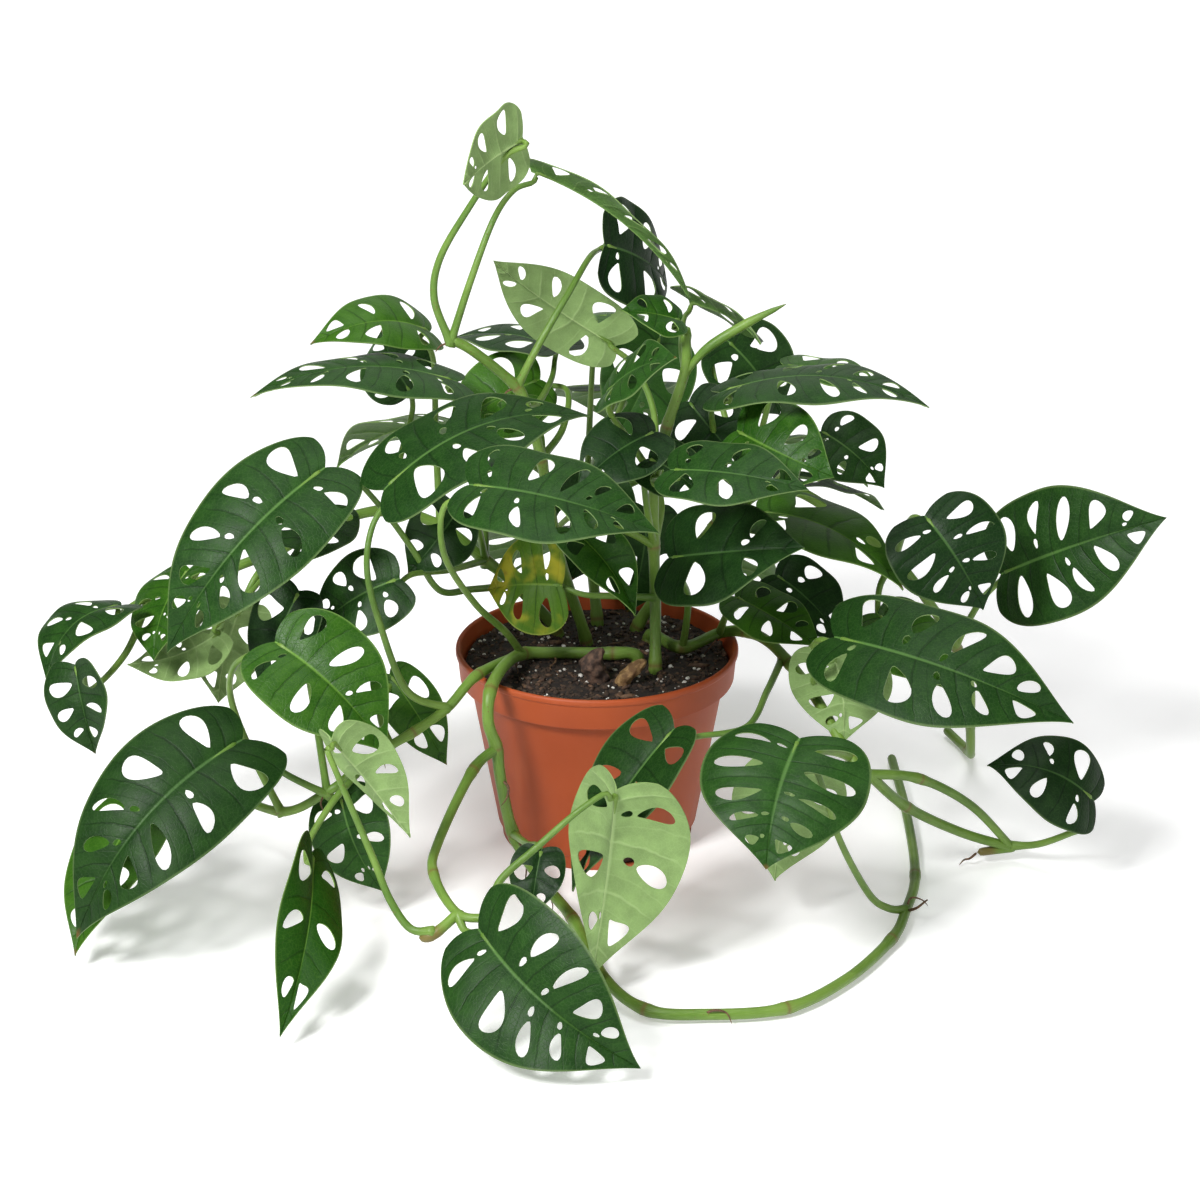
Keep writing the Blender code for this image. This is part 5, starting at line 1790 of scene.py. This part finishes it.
STUBS = (
    Stub("stub_dark", "dry_brown", ((0, -34, 90), (0, -34, 105), (-3, -35, 114), (2, -34, 122)),
         (4.5, 6.0, 6.5, 3.0),
         EarthFinish("dry_brown", (0.025, 0.014, 0.010), (0.150, 0.085, 0.055), 0.85, 300.0)),
    Stub("stub_tan", "dry_tan", ((14, -40, 90), (14, -40, 105), (19, -40, 112), (24, -40, 118)),
         (2.6, 3.2, 5.0, 3.5),
         EarthFinish("dry_tan", (0.120, 0.060, 0.020), (0.420, 0.260, 0.110), 0.8, 300.0)),
)


@dataclass
class Plant:
    """The vines with all their leaves and aerial roots."""

    large_leaf: float = 60.0
    small_grid: tuple = (56, 15)
    roots: EarthFinish = EarthFinish("root_brown", (0.060, 0.028, 0.012), (0.200, 0.110, 0.050), 0.75, 900.0)

    def build(self) -> None:
        """Build every vine's stems and blades, then the aerial roots."""
        VeinGroup().build()
        skin = StemFinish().material()
        for vine in VINES:
            Stems(vine).build(skin)
            for leaf in vine.leaves:
                self.leaf(vine, leaf)
        AerialRoots().build(self.roots.material())

    def leaf(self, vine: Vine, leaf: Leaf) -> None:
        """Build one blade and let it stand for its CAD solid.

        Args:
            vine: The vine that it grows from.
            leaf: The blade's place and form.
        """
        blade = Blade(BladeForm(leaf))
        if leaf.width < self.large_leaf:
            blade.columns, blade.rows = self.small_grid
        finish = LEAF_FINISHES[leaf.kind]
        piece = blade.build(finish)
        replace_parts(piece, vine.name if leaf.fused else leaf.name)


# The soft square lights: name, place, side in millimetres, power in watts

LIGHTS = (
    ("key", (-900, -1300, 1500), 500, 53.0),
    ("fill", (1300, -1100, 900), 1100, 7.0),
    ("back", (200, 1500, 1300), 1500, 6.0),
    ("top", (0, 0, 1900), 900, 12.0),
)


@dataclass
class Studio:
    """The plain floor, the soft lights and the camera at the photograph's angle."""

    sky: float = 0.13
    floor_half: float = 40.0
    floor_white: float = 0.90
    glow: tuple = (0.67, 0.28)
    camera_distance: float = 1700.0
    camera_elevation: float = 22.0
    camera_lens: float = 95.4

    def build(self) -> None:
        """Set the stage up."""
        self.floor()
        for lamp in LIGHTS:
            self.light(*lamp)
        bpy.context.scene.view_settings.view_transform = "Standard"
        world = bpy.data.worlds.new("studio")
        bpy.context.scene.world = world
        world.use_nodes = True
        backdrop = world.node_tree.nodes["Background"]
        backdrop.inputs["Color"].default_value = (1.0, 1.0, 1.0, 1.0)
        backdrop.inputs["Strength"].default_value = self.sky
        self.camera()

    def floor(self) -> None:
        """Lay the plain pale floor just under the pot, which glows a little from afar."""
        work = bmesh.new()
        bmesh.ops.create_grid(work, x_segments=1, y_segments=1, size=self.floor_half)
        floor = add_object("floor", mesh_of(work, "floor"))
        finish = Finish("floor_white")
        inputs = finish.shader.inputs
        finish.put(inputs["Base Color"], (self.floor_white, self.floor_white, self.floor_white, 1.0))
        finish.put(inputs["Roughness"], 0.9)
        finish.put(inputs["Emission Color"], (1.0, 1.0, 1.0, 1.0))
        far = finish.node("VectorMath", {0: finish.spot()}, operation="LENGTH").outputs["Value"]
        finish.put(inputs["Emission Strength"], finish.plus(finish.ramp(far, 0.45, 2.4), *self.glow))
        floor.data.materials.append(finish.material)

    def light(self, name: str, place: tuple, size: float, power: float) -> None:
        """Add a soft square light that looks at the plant's middle.

        Args:
            name: The light's name.
            place: Where it hangs, in millimetres.
            size: Its side, in millimetres.
            power: Its power in watts.
        """
        lamp = bpy.data.lights.new(name, "AREA")
        lamp.energy = power
        lamp.size = size * MM
        thing = add_object(name, lamp)
        thing.location = Vector(place) * MM
        aim = Vector(MIDDLE) - Vector(place)
        thing.rotation_euler = aim.to_track_quat("-Z", "Y").to_euler()

    def camera(self) -> None:
        """Place the camera at the photograph's viewing angle."""
        lens = bpy.data.cameras.new("camera")
        lens.lens = self.camera_lens
        lens.sensor_width = 36.0
        lens.clip_start = 0.05
        camera = add_object("camera", lens)
        tilt = math.radians(self.camera_elevation)
        back = Vector((0.0, -math.cos(tilt), math.sin(tilt)))
        camera.location = (Vector(MIDDLE) + back * self.camera_distance) * MM
        camera.rotation_euler = (-back).to_track_quat("-Z", "Y").to_euler()
        bpy.context.scene.camera = camera


def main() -> None:
    """Dress the frame: pot, soil, stubs, vines and leaves, then the studio."""
    logging.basicConfig(level=logging.INFO, format="%(name)s: %(message)s")
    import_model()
    Pot().build(PlasticFinish().material())
    Soil().build()
    for stub in STUBS:
        stub.build()
    Plant().build()
    Studio().build()


if __name__ == "__main__":
    main()
